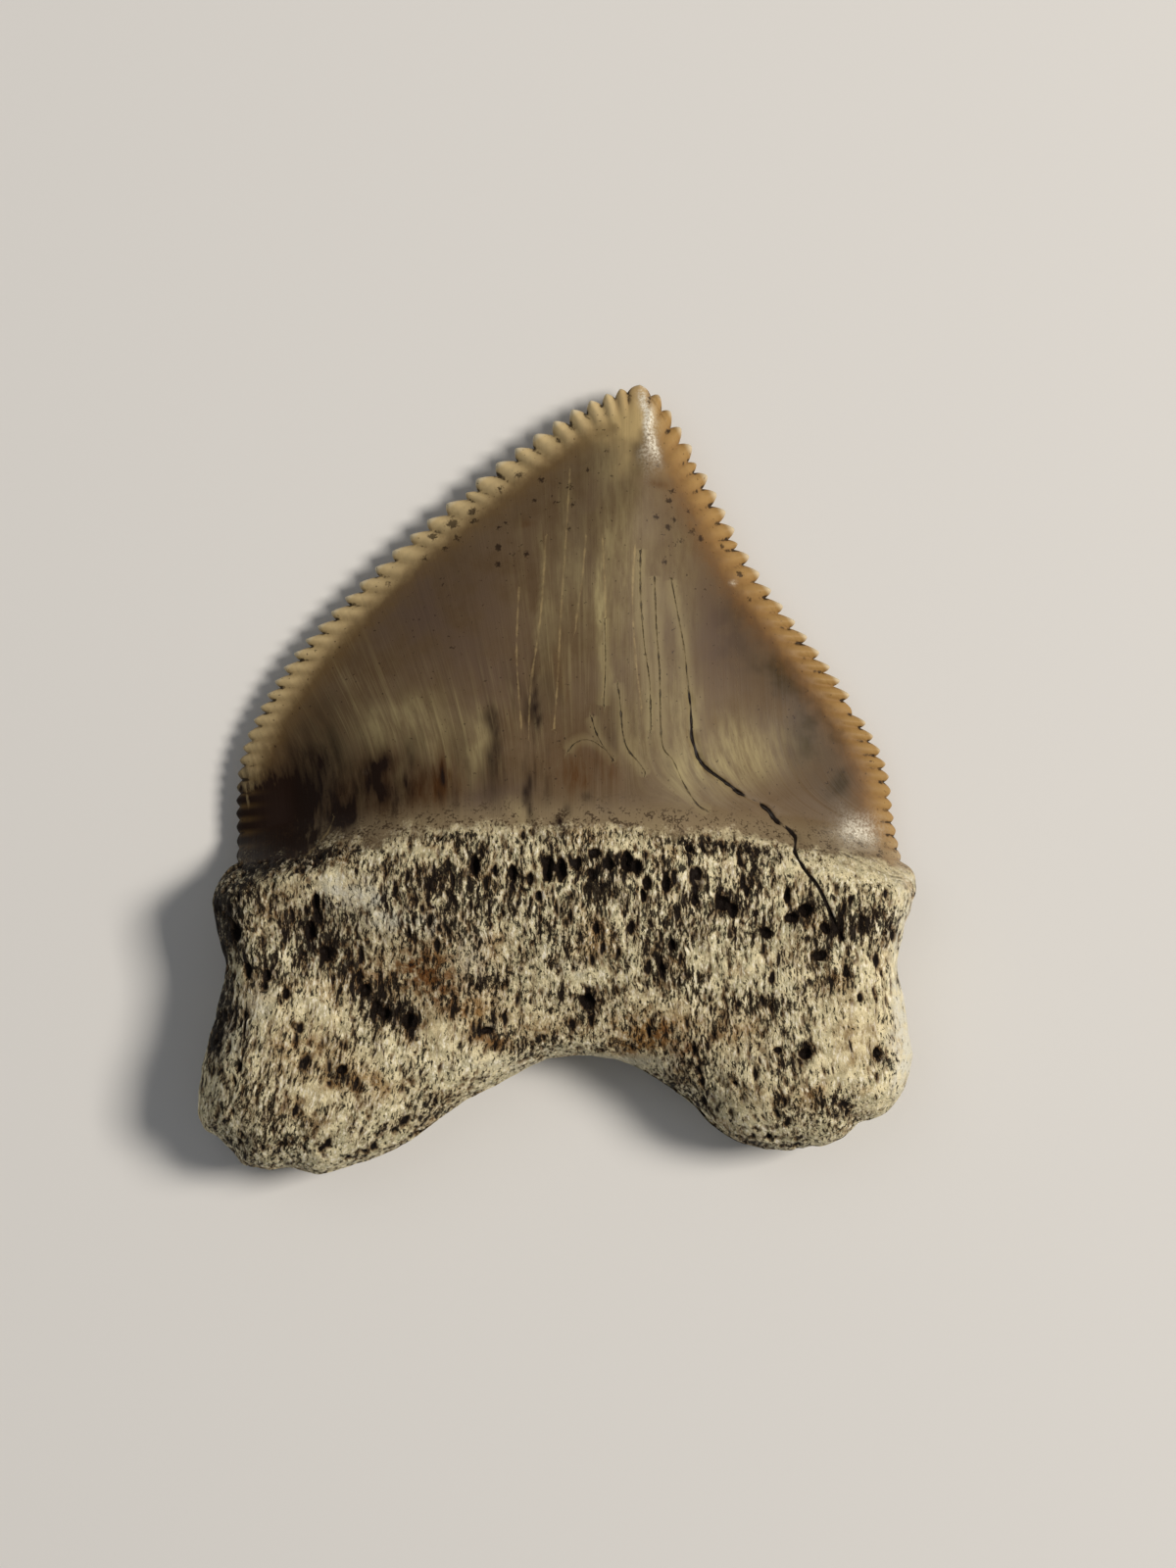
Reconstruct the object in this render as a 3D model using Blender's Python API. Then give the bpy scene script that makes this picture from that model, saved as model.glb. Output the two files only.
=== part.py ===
# Squalicorax tooth: a broad saw-edged crown on a two-lobed porous root, grown as one piece.
# It lies on its flatter face with the tip towards +Y, and the fuller face looks up along +Z.
# Lengths are in millimetres until the mesh is made, which is in metres.

import math

import bmesh
import bpy
import numpy as np
from mathutils import Vector

MM = 0.001

# Overall size of the tooth as it lies: root width, and height from lobe ends to tip
WIDTH = 25.0
HEIGHT = 27.5

# Cutting edges, from shoulder to tip, along the floor of the notches
LEFT_EDGE = ((-11.15, -2.95), (-11.12, -0.6), (-10.78, 1.15), (-9.75, 3.1), (-8.2, 5.1),
             (-5.2, 8.05), (-1.75, 10.86), (0.75, 12.58), (2.25, 13.4), (2.85, 13.55))
RIGHT_EDGE = ((11.95, -2.9), (11.6, -1.31), (11.25, 0.48), (10.22, 2.35), (8.9, 4.25),
              (6.62, 7.23), (4.82, 10.55), (3.75, 12.6), (3.3, 13.3), (2.85, 13.55))

# Root outline, from each shoulder round its lobe to the top of the notch between the lobes
LEFT_ROOT = ((-11.15, -2.95), (-11.55, -3.22), (-11.9, -3.8), (-11.97, -4.5), (-11.7, -5.75),
             (-11.54, -6.6), (-11.7, -7.6), (-12.2, -9.4), (-12.5, -11.0), (-12.36, -12.07),
             (-11.8, -12.5), (-11.29, -12.86), (-10.9, -13.35), (-10.2, -13.56), (-9.32, -13.52),
             (-8.28, -13.76), (-7.24, -13.49), (-5.86, -12.98), (-4.82, -12.38), (-3.61, -11.45),
             (-2.06, -10.62), (-0.67, -9.89), (0.71, -9.61))
RIGHT_ROOT = ((11.95, -2.9), (12.33, -3.18), (12.5, -3.7), (12.3, -4.5), (11.96, -5.45), (11.86, -6.6),
              (12.05, -7.8), (12.26, -9.4), (12.15, -10.4), (11.84, -11.2), (11.2, -11.7), (10.46, -12.0),
              (9.87, -12.52), (9.0, -12.8), (7.62, -12.9), (6.24, -12.6), (5.27, -11.96), (4.62, -11.27),
              (3.48, -10.48), (2.16, -9.85), (0.71, -9.61))

# Denticles of each cutting edge, counted from the shoulder (share 0) to the tip (share 1).
# width and height are (share, millimetres) knots; runts are small ones, by their count from the shoulder.
LEFT_SAW = {"count": 36, "width": ((0, 0.46), (0.38, 0.52), (0.62, 0.8), (0.86, 0.78), (1, 0.44)),
            "height": ((0, 0.08), (0.12, 0.12), (0.42, 0.36), (0.9, 0.36), (1, 0.2)),
            "runts": (26,), "chipped": (), "seed": 5}
RIGHT_SAW = {"count": 32, "width": ((0, 0.42), (0.3, 0.51), (0.5, 0.62), (1, 0.63)),
             "height": ((0, 0.08), (0.15, 0.18), (0.4, 0.36), (0.9, 0.34), (1, 0.26)),
             "runts": (27, 22), "chipped": (11,), "seed": 11}
WIDTH_SPREAD = 0.09
RUNT_SIZE = 0.6
CHIPPED_HEIGHT = 0.3
APEX_HEIGHT = 0.2
APEX_HALF_WIDTH = 0.42
DENTICLE_ROUNDNESS = 1.7
DENTICLE_STEPS = 4

# Midline that the mesh rows run to, from under the tip to above the notch
SPINE = ((2.7, 11.3), (0.9, -1.2), (0.7, -6.2))
SPINE_BEND = 0.7
ROWS = 200
# Rings of the two faces: distance in from the cutting edge, then share of what is left to the midline,
# with how many row ends are merged into one
INSETS = ((0.06, 1), (0.4, 1), (0.95, 2))
FRONT_SHARES = ((0.09, 2), (0.2, 2), (0.33, 2), (0.46, 2), (0.59, 4), (0.74, 4), (0.91, 4))
BACK_SHARES = ((0.12, 4), (0.3, 4), (0.5, 4), (0.74, 4), (0.93, 4))

# Where the crown's enamel ends and the root begins: an arch, highest at mid width.
# The crown's form passes into the root's between the two distances above it.
ARCH_TOP = -1.85
ARCH_DROP = 0.0104
BLEND_FROM = -0.6
BLEND_TO = 0.9

# Heights. The edge lies between the two faces, which are measured from it.
EDGE_LIFT = 0.85
TIP_LIFT = 0.6
TIP_LIFT_FROM = -3.0
TIP_LIFT_LENGTH = 17.0
ROOT_EDGE_LIFT = 2.15
EDGE_HALF_THICKNESS = 0.1
RIB_HEIGHT = 0.25
RIB_REACH = 0.8
CROWN_DOME = 3.6
CROWN_DOME_REACH = 3.3
# The blade thins towards its wings, between these distances from its middle
WING_THINNING = 0.3
WING_MIDDLE = 1.0
WING_FROM = 4.0
WING_TO = 11.0
ROOT_DOME = 2.55
ROOT_ROUNDING = 2.4
BACK_CROWN = 0.62
BACK_CROWN_REACH = 1.4
BACK_ROOT = 1.85

# Swellings and hollows of the fuller face: x, y, reach across, reach along, height
FRONT_FORMS = ((0.3, -4.4, 7.5, 2.4, 0.7), (0.4, -1.2, 6.5, 2.8, 0.45), (2.2, 5.0, 2.0, 6.5, 0.35),
               (7.6, 0.4, 2.1, 2.6, -0.42), (-9.3, -0.9, 1.5, 1.7, -0.45), (-5.6, 1.8, 2.6, 3.0, 0.22),
               (0.7, -8.6, 3.2, 1.6, -0.4), (-8.6, -5.2, 2.2, 1.5, -0.45), (-6.0, -7.3, 1.8, 1.3, -0.35),
               (-8.8, -10.5, 2.6, 2.2, 0.25), (8.2, -9.8, 2.4, 2.3, 0.3), (9.2, -5.4, 1.7, 1.4, -0.25))
FORM_FADE = 2.0

# Flat spots on which the tooth rests: x, y, reach, how far they would stand below the table
REST_SPOTS = ((-8.6, -10.2, 2.6, 0.75), (8.3, -9.9, 2.6, 0.75), (1.6, 3.6, 3.0, 0.6))
UNDERSIDE_CLEARANCE = 0.25
SPOT_INSET = 0.5

# Vessel openings in the root: a row under the crown, then the larger pits (x, y, half width, half length)
FORAMINA = {"count": 12, "from": -2.75, "to": 4.5, "below_arch": 1.0, "half_width": 0.17, "half_length": 0.46,
            "stray": 0.2, "size": (0.75, 1.2), "seed": 3}
PITS = ((-9.75, -5.4, 0.2, 0.55), (-8.6, -6.6, 0.22, 0.5), (-7.2, -7.4, 0.28, 0.45), (-5.9, -7.9, 0.3, 0.36),
        (-4.7, -8.4, 0.24, 0.4), (-7.4, -9.9, 0.3, 0.4), (-10.7, -8.8, 0.17, 0.45), (-1.6, -7.5, 0.2, 0.35),
        (1.9, -7.2, 0.24, 0.4), (6.3, -4.2, 0.2, 0.5), (8.1, -5.0, 0.26, 0.45), (9.2, -6.7, 0.24, 0.5),
        (4.9, -6.0, 0.17, 0.5), (7.3, -8.6, 0.2, 0.4), (10.3, -9.6, 0.22, 0.35), (5.9, -9.2, 0.16, 0.45))
PIT_DEPTH = 0.4
PIT_SIDES = 8
PIT_RINGS = 5

# The open crack down the right of the crown and into the root
CRACK = ((4.55, 4.4), (4.7, 2.4), (4.75, 1.35), (4.95, 0.65), (5.4, 0.2), (6.59, -0.62), (7.62, -1.31),
         (8.06, -1.85), (8.2, -2.63), (8.75, -3.75), (9.53, -5.05))
CRACK_HALF_WIDTH = 0.12
CRACK_END = 0.12
CRACK_DEPTH = 0.3
CUTTER_CLEAR = 0.4

OUTLINE_SAMPLES = 700
CURVE_STEPS = 24


def smooth_step(value, low, high):
    t = np.clip((np.asarray(value, float) - low) / (high - low), 0, 1)
    return t * t * (3 - 2 * t)


def smooth_curve(points, steps):
    # Curve through hand-placed points with rounded tangents, walked at the given shares of its length
    p = np.array(points, float)
    ends = np.vstack([2 * p[0] - p[1], p, 2 * p[-1] - p[-2]])
    t = np.linspace(0, 1, CURVE_STEPS, endpoint=False)[:, None]
    spans = [
        0.5 * (2 * b + (c - a) * t + (2 * a - 5 * b + 4 * c - d) * t**2 + (3 * b - a - 3 * c + d) * t**3)
        for a, b, c, d in zip(ends[:-3], ends[1:-2], ends[2:-1], ends[3:])
    ]
    line = np.vstack([*spans, p[-1:]])
    along = np.concatenate([[0], np.cumsum(np.linalg.norm(np.diff(line, axis=0), axis=1))])
    at = np.asarray(steps) * along[-1]
    return np.stack([np.interp(at, along, line[:, k]) for k in range(2)], axis=1)


def saw(law):
    # Shares of the edge's length, and how far each sample stands out, from shoulder to tip.
    # Each denticle is a round-topped lobe between two sharp notches.
    rng = np.random.default_rng(law["seed"])
    count = law["count"]
    place = (np.arange(count) + 0.5) / count
    width = np.interp(place, *zip(*law["width"])) * (1 + WIDTH_SPREAD * rng.uniform(-1, 1, count))
    height = np.interp(place, *zip(*law["height"]))
    for runt in law["runts"]:
        width[runt] *= RUNT_SIZE
        height[runt] *= RUNT_SIZE
    for chip in law["chipped"]:
        height[chip] *= CHIPPED_HEIGHT
    phase = np.linspace(-1, 1, DENTICLE_STEPS, endpoint=False)
    start = np.concatenate([[0], np.cumsum(width)])
    at = (start[:-1, None] + width[:, None] * (phase + 1) / 2).ravel()
    out = (height[:, None] * (1 - np.abs(phase) ** DENTICLE_ROUNDNESS)).ravel()
    apex = np.array([0, 0.5, 1])
    at = np.concatenate([at, start[-1] + APEX_HALF_WIDTH * apex])
    out = np.concatenate([out, APEX_HEIGHT * (1 - (1 - apex) ** DENTICLE_ROUNDNESS)])
    return at / at[-1], out


def side(edge, root, law):
    # One side of the outline from tip to notch: notch-floor points, and how far the denticles stand out
    shares, out = saw(law)
    crown = smooth_curve(edge, shares)
    root_steps = ROWS - (len(crown) - 1)
    below = smooth_curve(root, np.linspace(0, 1, root_steps + 1))
    points = np.vstack([crown[::-1], below[1:]])
    return points, np.concatenate([out[::-1], np.zeros(root_steps)])


def spine_points():
    share = np.linspace(0, 1, ROWS + 1)
    knots = (0, SPINE_BEND, 1)
    return np.stack([np.interp(share, knots, [p[k] for p in SPINE]) for k in range(2)], axis=1)


def ring_layout():
    # Outline as one closed loop (tip, left side, notch, right side), its denticles, and the row targets,
    # centred and brought to the stated width and height
    left, left_out = side(LEFT_EDGE, LEFT_ROOT, LEFT_SAW)
    right, right_out = side(RIGHT_EDGE, RIGHT_ROOT, RIGHT_SAW)
    spine = spine_points()
    loop = np.vstack([left, right[-2:0:-1]])
    out = np.concatenate([left_out, right_out[-2:0:-1]])
    targets = np.vstack([spine, spine[-2:0:-1]])
    away = (loop - targets) / np.linalg.norm(loop - targets, axis=1)[:, None]
    fit_low = (loop + away * out[:, None]).min(axis=0)
    fit_high = (loop + away * out[:, None]).max(axis=0)
    scale = np.array([WIDTH, HEIGHT]) / (fit_high - fit_low)
    middle = (fit_low + fit_high) / 2
    return (loop - middle) * scale, out, (targets - middle) * scale


def crown_share(x, y):
    # 0 in the root, 1 in the crown
    return smooth_step(y - (ARCH_TOP - ARCH_DROP * x * x), BLEND_FROM, BLEND_TO)


def edge_height(x, y):
    crown = EDGE_LIFT + TIP_LIFT * np.clip((y - TIP_LIFT_FROM) / TIP_LIFT_LENGTH, 0, 1) ** 2
    return ROOT_EDGE_LIFT + (crown - ROOT_EDGE_LIFT) * crown_share(x, y)


def bumps(x, y, forms):
    total = np.zeros_like(x)
    for cx, cy, across, along, height in forms:
        total += height * np.exp(-(((x - cx) / across) ** 2) - ((y - cy) / along) ** 2)
    return total


def round_over(d, reach):
    # Quarter-circle rise from the outline to full height at the given reach
    return np.sqrt(1 - (1 - np.clip(d / reach, 0, 1)) ** 2)


def top_height(x, y, d, rib):
    # Fuller face: a domed blade above, a rounded slab below
    share = crown_share(x, y)
    wings = 1 - WING_THINNING * smooth_step(np.abs(x - WING_MIDDLE), WING_FROM, WING_TO)
    crown = EDGE_HALF_THICKNESS + rib + CROWN_DOME * (1 - np.exp(-d / CROWN_DOME_REACH)) * wings
    root = ROOT_DOME * round_over(d, ROOT_ROUNDING)
    forms = bumps(x, y, FRONT_FORMS) * smooth_step(d, 0, FORM_FADE)
    return edge_height(x, y) + root + (crown - root) * share + forms


def bottom_height(x, y, d, rib):
    # Flatter face, cut off level with the table at the rest spots
    share = crown_share(x, y)
    crown = EDGE_HALF_THICKNESS + rib + BACK_CROWN * (1 - np.exp(-d / BACK_CROWN_REACH))
    root = BACK_ROOT * round_over(d, ROOT_ROUNDING)
    drop = root + (crown - root) * share
    spots = bumps(x, y, [(cx, cy, reach, reach, depth) for cx, cy, reach, depth in REST_SPOTS])
    free = np.maximum(edge_height(x, y) - drop, UNDERSIDE_CLEARANCE)
    return np.where(d > SPOT_INSET, np.maximum(free - spots, 0), free)


def distance_to(points, line):
    gaps = points[:, None, :] - line[None, :, :]
    return np.sqrt((gaps**2).sum(axis=2)).min(axis=1)


class Faces:
    # Collects the mesh of both faces as lists of points and polygons

    def __init__(self):
        self.loop, self.out, self.targets = ring_layout()
        self.to_target = self.targets - self.loop
        self.reach = np.linalg.norm(self.to_target, axis=1)
        # Each denticle carries a rib on both faces, which dies away inwards
        self.rib = RIB_HEIGHT * self.out / self.out.max()
        self.outline = self.dense_outline()
        self.points = []
        self.polygons = []

    def dense_outline(self):
        closed = np.vstack([self.loop, self.loop[:1]])
        along = np.concatenate([[0], np.cumsum(np.linalg.norm(np.diff(closed, axis=0), axis=1))])
        at = np.linspace(0, along[-1], OUTLINE_SAMPLES, endpoint=False)
        return np.stack([np.interp(at, along, closed[:, k]) for k in range(2)], axis=1)

    def add_ring(self, inset, share, every, height):
        # A ring lies inset millimetres in from the notch floor, plus a share of what is left to the midline
        inward = inset + (self.reach - inset) * share
        xy = (self.loop + self.to_target / self.reach[:, None] * inward[:, None])[::every]
        d = distance_to(xy, self.outline)
        rib = (self.rib * np.exp(-((inward / RIB_REACH) ** 2)))[::every]
        z = height(xy[:, 0], xy[:, 1], d, rib)
        return self.store(xy, z)

    def add_rim(self):
        xy = self.loop - self.to_target / self.reach[:, None] * self.out[:, None]
        return self.store(xy, edge_height(self.loop[:, 0], self.loop[:, 1]))

    def store(self, xy, z):
        first = len(self.points)
        self.points.extend((x * MM, y * MM, h * MM) for (x, y), h in zip(xy, z))
        return list(range(first, len(self.points)))

    def join(self, outer, inner, upward):
        # Quads between equal rings, three triangles to each merged pair where the inner ring is coarser
        n, m = len(outer), len(inner)
        for i in range(m):
            j = (i + 1) % m
            if n == m:
                self.face((outer[i], outer[j], inner[j], inner[i]), upward)
                continue
            a, b, c = outer[2 * i], outer[2 * i + 1], outer[(2 * i + 2) % n]
            self.face((a, b, inner[i]), upward)
            self.face((b, inner[j], inner[i]), upward)
            self.face((b, c, inner[j]), upward)

    def close(self, ring, upward):
        # The innermost ring is a narrow loop round the midline: its two sides are joined across
        half = len(ring) // 2
        left, right = ring[: half + 1], [ring[0], *ring[:half - 1:-1]]
        self.face((left[0], left[1], right[1]), upward)
        for i in range(1, half - 1):
            self.face((left[i], left[i + 1], right[i + 1], right[i]), upward)
        self.face((left[half - 1], left[half], right[half - 1]), upward)

    def face(self, corners, upward):
        self.polygons.append(corners if upward else corners[::-1])

    def cover(self, rim, shares, height, upward):
        rings = [(inset, 0, every) for inset, every in INSETS]
        rings += [(INSETS[-1][0], share, every) for share, every in shares]
        previous = rim
        for inset, share, every in rings:
            ring = self.add_ring(inset, share, every, height)
            self.join(previous, ring, upward)
            previous = ring
        self.close(previous, upward)


def mesh_object(name, points, polygons):
    mesh = bpy.data.meshes.new(name)
    mesh.from_pydata(points, [], polygons)
    made = bpy.data.objects.new(name, mesh)
    bpy.context.scene.collection.objects.link(made)
    return made


def cutter_object(name, make):
    mesh = bpy.data.meshes.new(name)
    shape = bmesh.new()
    make(shape)
    bmesh.ops.recalc_face_normals(shape, faces=shape.faces)
    shape.to_mesh(mesh)
    shape.free()
    made = bpy.data.objects.new(name, mesh)
    made.hide_render = True
    made.display_type = "WIRE"
    bpy.context.scene.collection.objects.link(made)
    return made


def surface_at(faces, x, y):
    spot = np.array([[x, y]])
    d = distance_to(spot, faces.outline)
    return float(top_height(spot[:, 0], spot[:, 1], d, 0)[0])


def pit_places():
    row = FORAMINA
    rng = np.random.default_rng(row["seed"])
    for x in np.linspace(row["from"], row["to"], row["count"]):
        y = ARCH_TOP - ARCH_DROP * x * x - row["below_arch"] + row["stray"] * rng.uniform(-1, 1)
        size = rng.uniform(*row["size"])
        yield x, y, row["half_width"] * size, row["half_length"] * size
    yield from PITS


def cut_pits(faces):
    def make(shape):
        for x, y, half_width, half_length in pit_places():
            made = bmesh.ops.create_uvsphere(shape, u_segments=PIT_SIDES, v_segments=PIT_RINGS, radius=1)
            middle = Vector((x, y, surface_at(faces, x, y)))
            half_size = Vector((half_width, half_length, PIT_DEPTH))
            for vert in made["verts"]:
                vert.co = (middle + vert.co * half_size) * MM

    return cutter_object("pit_cutters", make)


def cut_crack(faces):
    # A wedge that follows the crack, open above the surface and narrowing to a point at each end
    path = np.array(CRACK)
    heading = np.gradient(path, axis=0)
    heading /= np.linalg.norm(heading, axis=1)[:, None]
    wide = CRACK_HALF_WIDTH * np.sqrt(np.sin(np.linspace(CRACK_END, math.pi - CRACK_END, len(path))))

    def make(shape):
        sections = []
        for (x, y), (hx, hy), half in zip(path, heading, wide):
            z = surface_at(faces, x, y)
            flare = half * (1 + CUTTER_CLEAR / CRACK_DEPTH)
            corners = ((x - hy * flare, y + hx * flare, z + CUTTER_CLEAR),
                       (x + hy * flare, y - hx * flare, z + CUTTER_CLEAR), (x, y, z - CRACK_DEPTH))
            sections.append([shape.verts.new([c * MM for c in corner]) for corner in corners])
        shape.faces.new(sections[0])
        for a, b in zip(sections, sections[1:]):
            for i in range(3):
                j = (i + 1) % 3
                shape.faces.new((a[i], a[j], b[j], b[i]))
        shape.faces.new(sections[-1][::-1])
        bmesh.ops.triangulate(shape, faces=shape.faces[:])

    return cutter_object("crack_cutter", make)


def take_away(made, cutter):
    cut = made.modifiers.new(cutter.name, "BOOLEAN")
    cut.operation = "DIFFERENCE"
    cut.object = cutter


def tooth_material():
    # Fossil tooth: satin enamel and mineralised bone in one mid tone
    made = bpy.data.materials.new("fossil_tooth")
    made.use_nodes = True
    shader = made.node_tree.nodes["Principled BSDF"]
    shader.inputs["Base Color"].default_value = (0.24, 0.19, 0.14, 1)
    shader.inputs["Roughness"].default_value = 0.5
    shader.inputs["Metallic"].default_value = 0
    return made


def build_tooth():
    faces = Faces()
    rim = faces.add_rim()
    faces.cover(rim, FRONT_SHARES, top_height, upward=True)
    faces.cover(rim, BACK_SHARES, bottom_height, upward=False)
    tooth = mesh_object("tooth", faces.points, faces.polygons)
    tooth.data.materials.append(tooth_material())
    take_away(tooth, cut_pits(faces))
    take_away(tooth, cut_crack(faces))
    return tooth


for old in list(bpy.data.objects):
    bpy.data.objects.remove(old)
build_tooth()
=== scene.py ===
import functools
import itertools
import math

import bmesh
import bpy
import numpy as np
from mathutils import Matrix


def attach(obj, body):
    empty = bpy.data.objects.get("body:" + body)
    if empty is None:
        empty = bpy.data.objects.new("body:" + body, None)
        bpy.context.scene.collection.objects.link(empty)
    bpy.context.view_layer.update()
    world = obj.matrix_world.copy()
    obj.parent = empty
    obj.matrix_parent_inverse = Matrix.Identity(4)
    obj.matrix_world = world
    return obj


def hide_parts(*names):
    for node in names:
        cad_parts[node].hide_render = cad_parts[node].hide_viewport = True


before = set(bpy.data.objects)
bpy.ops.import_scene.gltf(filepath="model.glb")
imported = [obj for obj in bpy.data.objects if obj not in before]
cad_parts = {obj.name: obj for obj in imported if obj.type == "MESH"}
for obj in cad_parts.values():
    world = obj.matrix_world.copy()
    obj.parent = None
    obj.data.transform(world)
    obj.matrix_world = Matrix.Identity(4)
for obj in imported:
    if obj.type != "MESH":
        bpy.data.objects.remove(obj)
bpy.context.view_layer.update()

# A fossil crow shark tooth lying on its flatter face, the tip towards +Y and the fuller face up.
# Lengths are in millimetres until a mesh is made.

mm = 0.001

# Outline, saw edges and the way the mesh is laid out
shape = {
    "width": 25.0,
    "height": 27.5,
    # cutting edges along the floor of the notches, shoulder to tip
    "leftEdge": ((-11.15, -2.95), (-11.12, -0.6), (-10.78, 1.15), (-9.75, 3.1), (-8.2, 5.1),
                 (-5.2, 8.05), (-1.75, 10.86), (0.75, 12.58), (2.25, 13.4), (2.85, 13.55)),
    "rightEdge": ((11.95, -2.9), (11.6, -1.31), (11.25, 0.48), (10.22, 2.35), (8.9, 4.25),
                  (6.62, 7.23), (4.82, 10.55), (3.75, 12.6), (3.3, 13.3), (2.85, 13.55)),
    # root, shoulder to the top of the notch between the lobes
    "leftRoot": ((-11.15, -2.95), (-11.55, -3.22), (-11.9, -3.8), (-11.97, -4.5), (-11.7, -5.75),
                 (-11.54, -6.6), (-11.7, -7.6), (-12.2, -9.4), (-12.5, -11.0), (-12.36, -12.07),
                 (-11.8, -12.5), (-11.29, -12.86), (-10.9, -13.35), (-10.2, -13.56), (-9.32, -13.52),
                 (-8.28, -13.76), (-7.24, -13.49), (-5.86, -12.98), (-4.82, -12.38), (-3.61, -11.45),
                 (-2.06, -10.62), (-0.67, -9.89), (0.71, -9.61)),
    "rightRoot": ((11.95, -2.9), (12.33, -3.18), (12.5, -3.7), (12.3, -4.5), (11.96, -5.45), (11.86, -6.6),
                  (12.05, -7.8), (12.26, -9.4), (12.15, -10.4), (11.84, -11.2), (11.2, -11.7), (10.46, -12.0),
                  (9.87, -12.52), (9.0, -12.8), (7.62, -12.9), (6.24, -12.6), (5.27, -11.96), (4.62, -11.27),
                  (3.48, -10.48), (2.16, -9.85), (0.71, -9.61)),
    "leftCorner": 9,      # the root point where the flank turns into the lobe's end
    "rightCorner": 9,
    "leftSaw": {"count": 36, "width": ((0, 0.46), (0.38, 0.52), (0.62, 0.8), (0.86, 0.78), (1, 0.44)),
                "height": ((0, 0.08), (0.12, 0.14), (0.42, 0.4), (0.9, 0.4), (1, 0.2)),
                "runts": (26,), "chipped": (), "seed": 5, "roundness": 1.45},
    "rightSaw": {"count": 32, "width": ((0, 0.42), (0.3, 0.51), (0.5, 0.62), (1, 0.63)),
                 "height": ((0, 0.08), (0.15, 0.18), (0.4, 0.39), (0.9, 0.37), (1, 0.26)),
                 "runts": (27, 22), "chipped": (11,), "seed": 11, "roundness": 1.6},
    "widthSpread": 0.09,
    "runtSize": 0.6,
    "chippedHeight": 0.3,
    "apexHeight": 0.2,
    "apexHalfWidth": 0.42,
    "apexRoundness": 2.4,
    "rootRoughness": 0.09,
    "notchPhase": (0.4, 0.95),
    "notchFade": 0.55,
    # midline: under the tip, where crown rows end, above the notch
    "midline": ((2.7, 11.3), (0.6, -1.3), (0.7, -6.2)),
}
layout = {
    "edgeSamples": 432,   # along each cutting edge, without the apex
    "apexSamples": 8,
    "flankSamples": 128,
    "halfColumns": 72,    # crown columns from one edge to the midline; the root has twice as many
    "rimOut": (0, 0.06, 0.2, 0.42, 0.7, 1),             # share of a denticle's height taken off, ring by ring
    "rimIn": (0, 0.008, 0.022, 0.042, 0.066, 0.09),     # and millimetres further in
    "wallStep": 0.09,     # spacing up the root's rounded side wall
    "bladeEnd": (-14, 6),     # samples past the seam between which the blade gives way to that wall
    "flankLength": 9.3,   # lengths that the root's columns are spaced for
    "lobeLength": 11.9,
    "crowding": 1.25,     # above 1, columns are closer together near the cutting edges
    "settleFrom": 0.8,    # share of the crown below which its columns turn into the root's
    "spanSamples": 24,    # points to a span of a curve
    # rings of the flatter face: millimetres in, then the share of what is left to the midline,
    # each with how many edge samples there are to a point
    "backInsets": ((0.16, 1), (0.32, 1), (0.55, 2), (0.85, 2), (1.2, 2), (1.6, 2)),
    "backShares": ((0.05, 4), (0.12, 4), (0.2, 4), (0.29, 4), (0.39, 4),
                   (0.5, 8), (0.62, 8), (0.76, 8), (0.91, 8)),
}
# Heights of both faces, as in the solid
form = {
    "archTop": -1.85, "archDrop": 0.0104, "blend": (-0.9, 1.3),
    "edgeLift": 0.85, "tipLift": 0.6, "tipLiftFrom": -3.0, "tipLiftLength": 17.0, "rootEdgeLift": 2.15,
    "edgeHalf": 0.1, "ribHeight": 0.21, "ribReach": 0.48,
    "crownDome": 3.7, "crownReach": 3.5, "wingThinning": 0.35, "wingsCentre": 1, "wings": (3, 11),
    "ridge": ((4, 10, 0.4), (8, 13, 0.7)),     # towards the tip the ridge keeps nearer the right edge
    "ridgePower": (4, 12), "ridgeSharpens": (8, 11.5),
    "tipThinning": 0.3, "tipThins": (5, 13),
    "rootDome": 2.55, "rootRounding": 2.4,
    "backCrown": 0.62, "backCrownReach": 1.4, "backRoot": 1.85,
    # mounds and hollows: x, y, reach across and along, height. They fade out near the edge.
    "swellFade": 2,
    "swellings": ((0.3, -4.4, 7.5, 2.4, 0.7), (0.4, -1.2, 6.5, 2.8, 0.45), (2.2, 5.0, 2.0, 6.5, 0.2),
                  (7.6, 0.4, 2.1, 2.6, -0.42), (-9.3, -0.9, 1.5, 1.7, -0.45), (-5.6, 1.8, 2.6, 3.0, 0.22),
                  (0.7, -8.6, 3.2, 1.6, -0.4), (-8.6, -5.2, 2.2, 1.5, -0.45), (-6.0, -7.3, 1.8, 1.3, -0.35),
                  (-8.8, -10.5, 2.6, 2.2, 0.25), (8.2, -9.8, 2.4, 2.3, 0.3), (9.2, -5.4, 1.7, 1.4, -0.25)),
    # spots that the tooth rests on: x, y, reach, depth
    "restSpots": ((-8.6, -10.2, 2.6, 0.75), (8.3, -9.9, 2.6, 0.75), (1.6, 3.6, 3.0, 0.6)),
    "restFrom": 0.5,      # millimetres in from the edge
    "clearance": 0.25,
}


def softStep(value, low, high):
    # 0 below low, 1 above high, and a smooth S between
    t = np.clip((value - low) / (high - low), 0, 1)
    return t * t * (3 - 2 * t)


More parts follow.
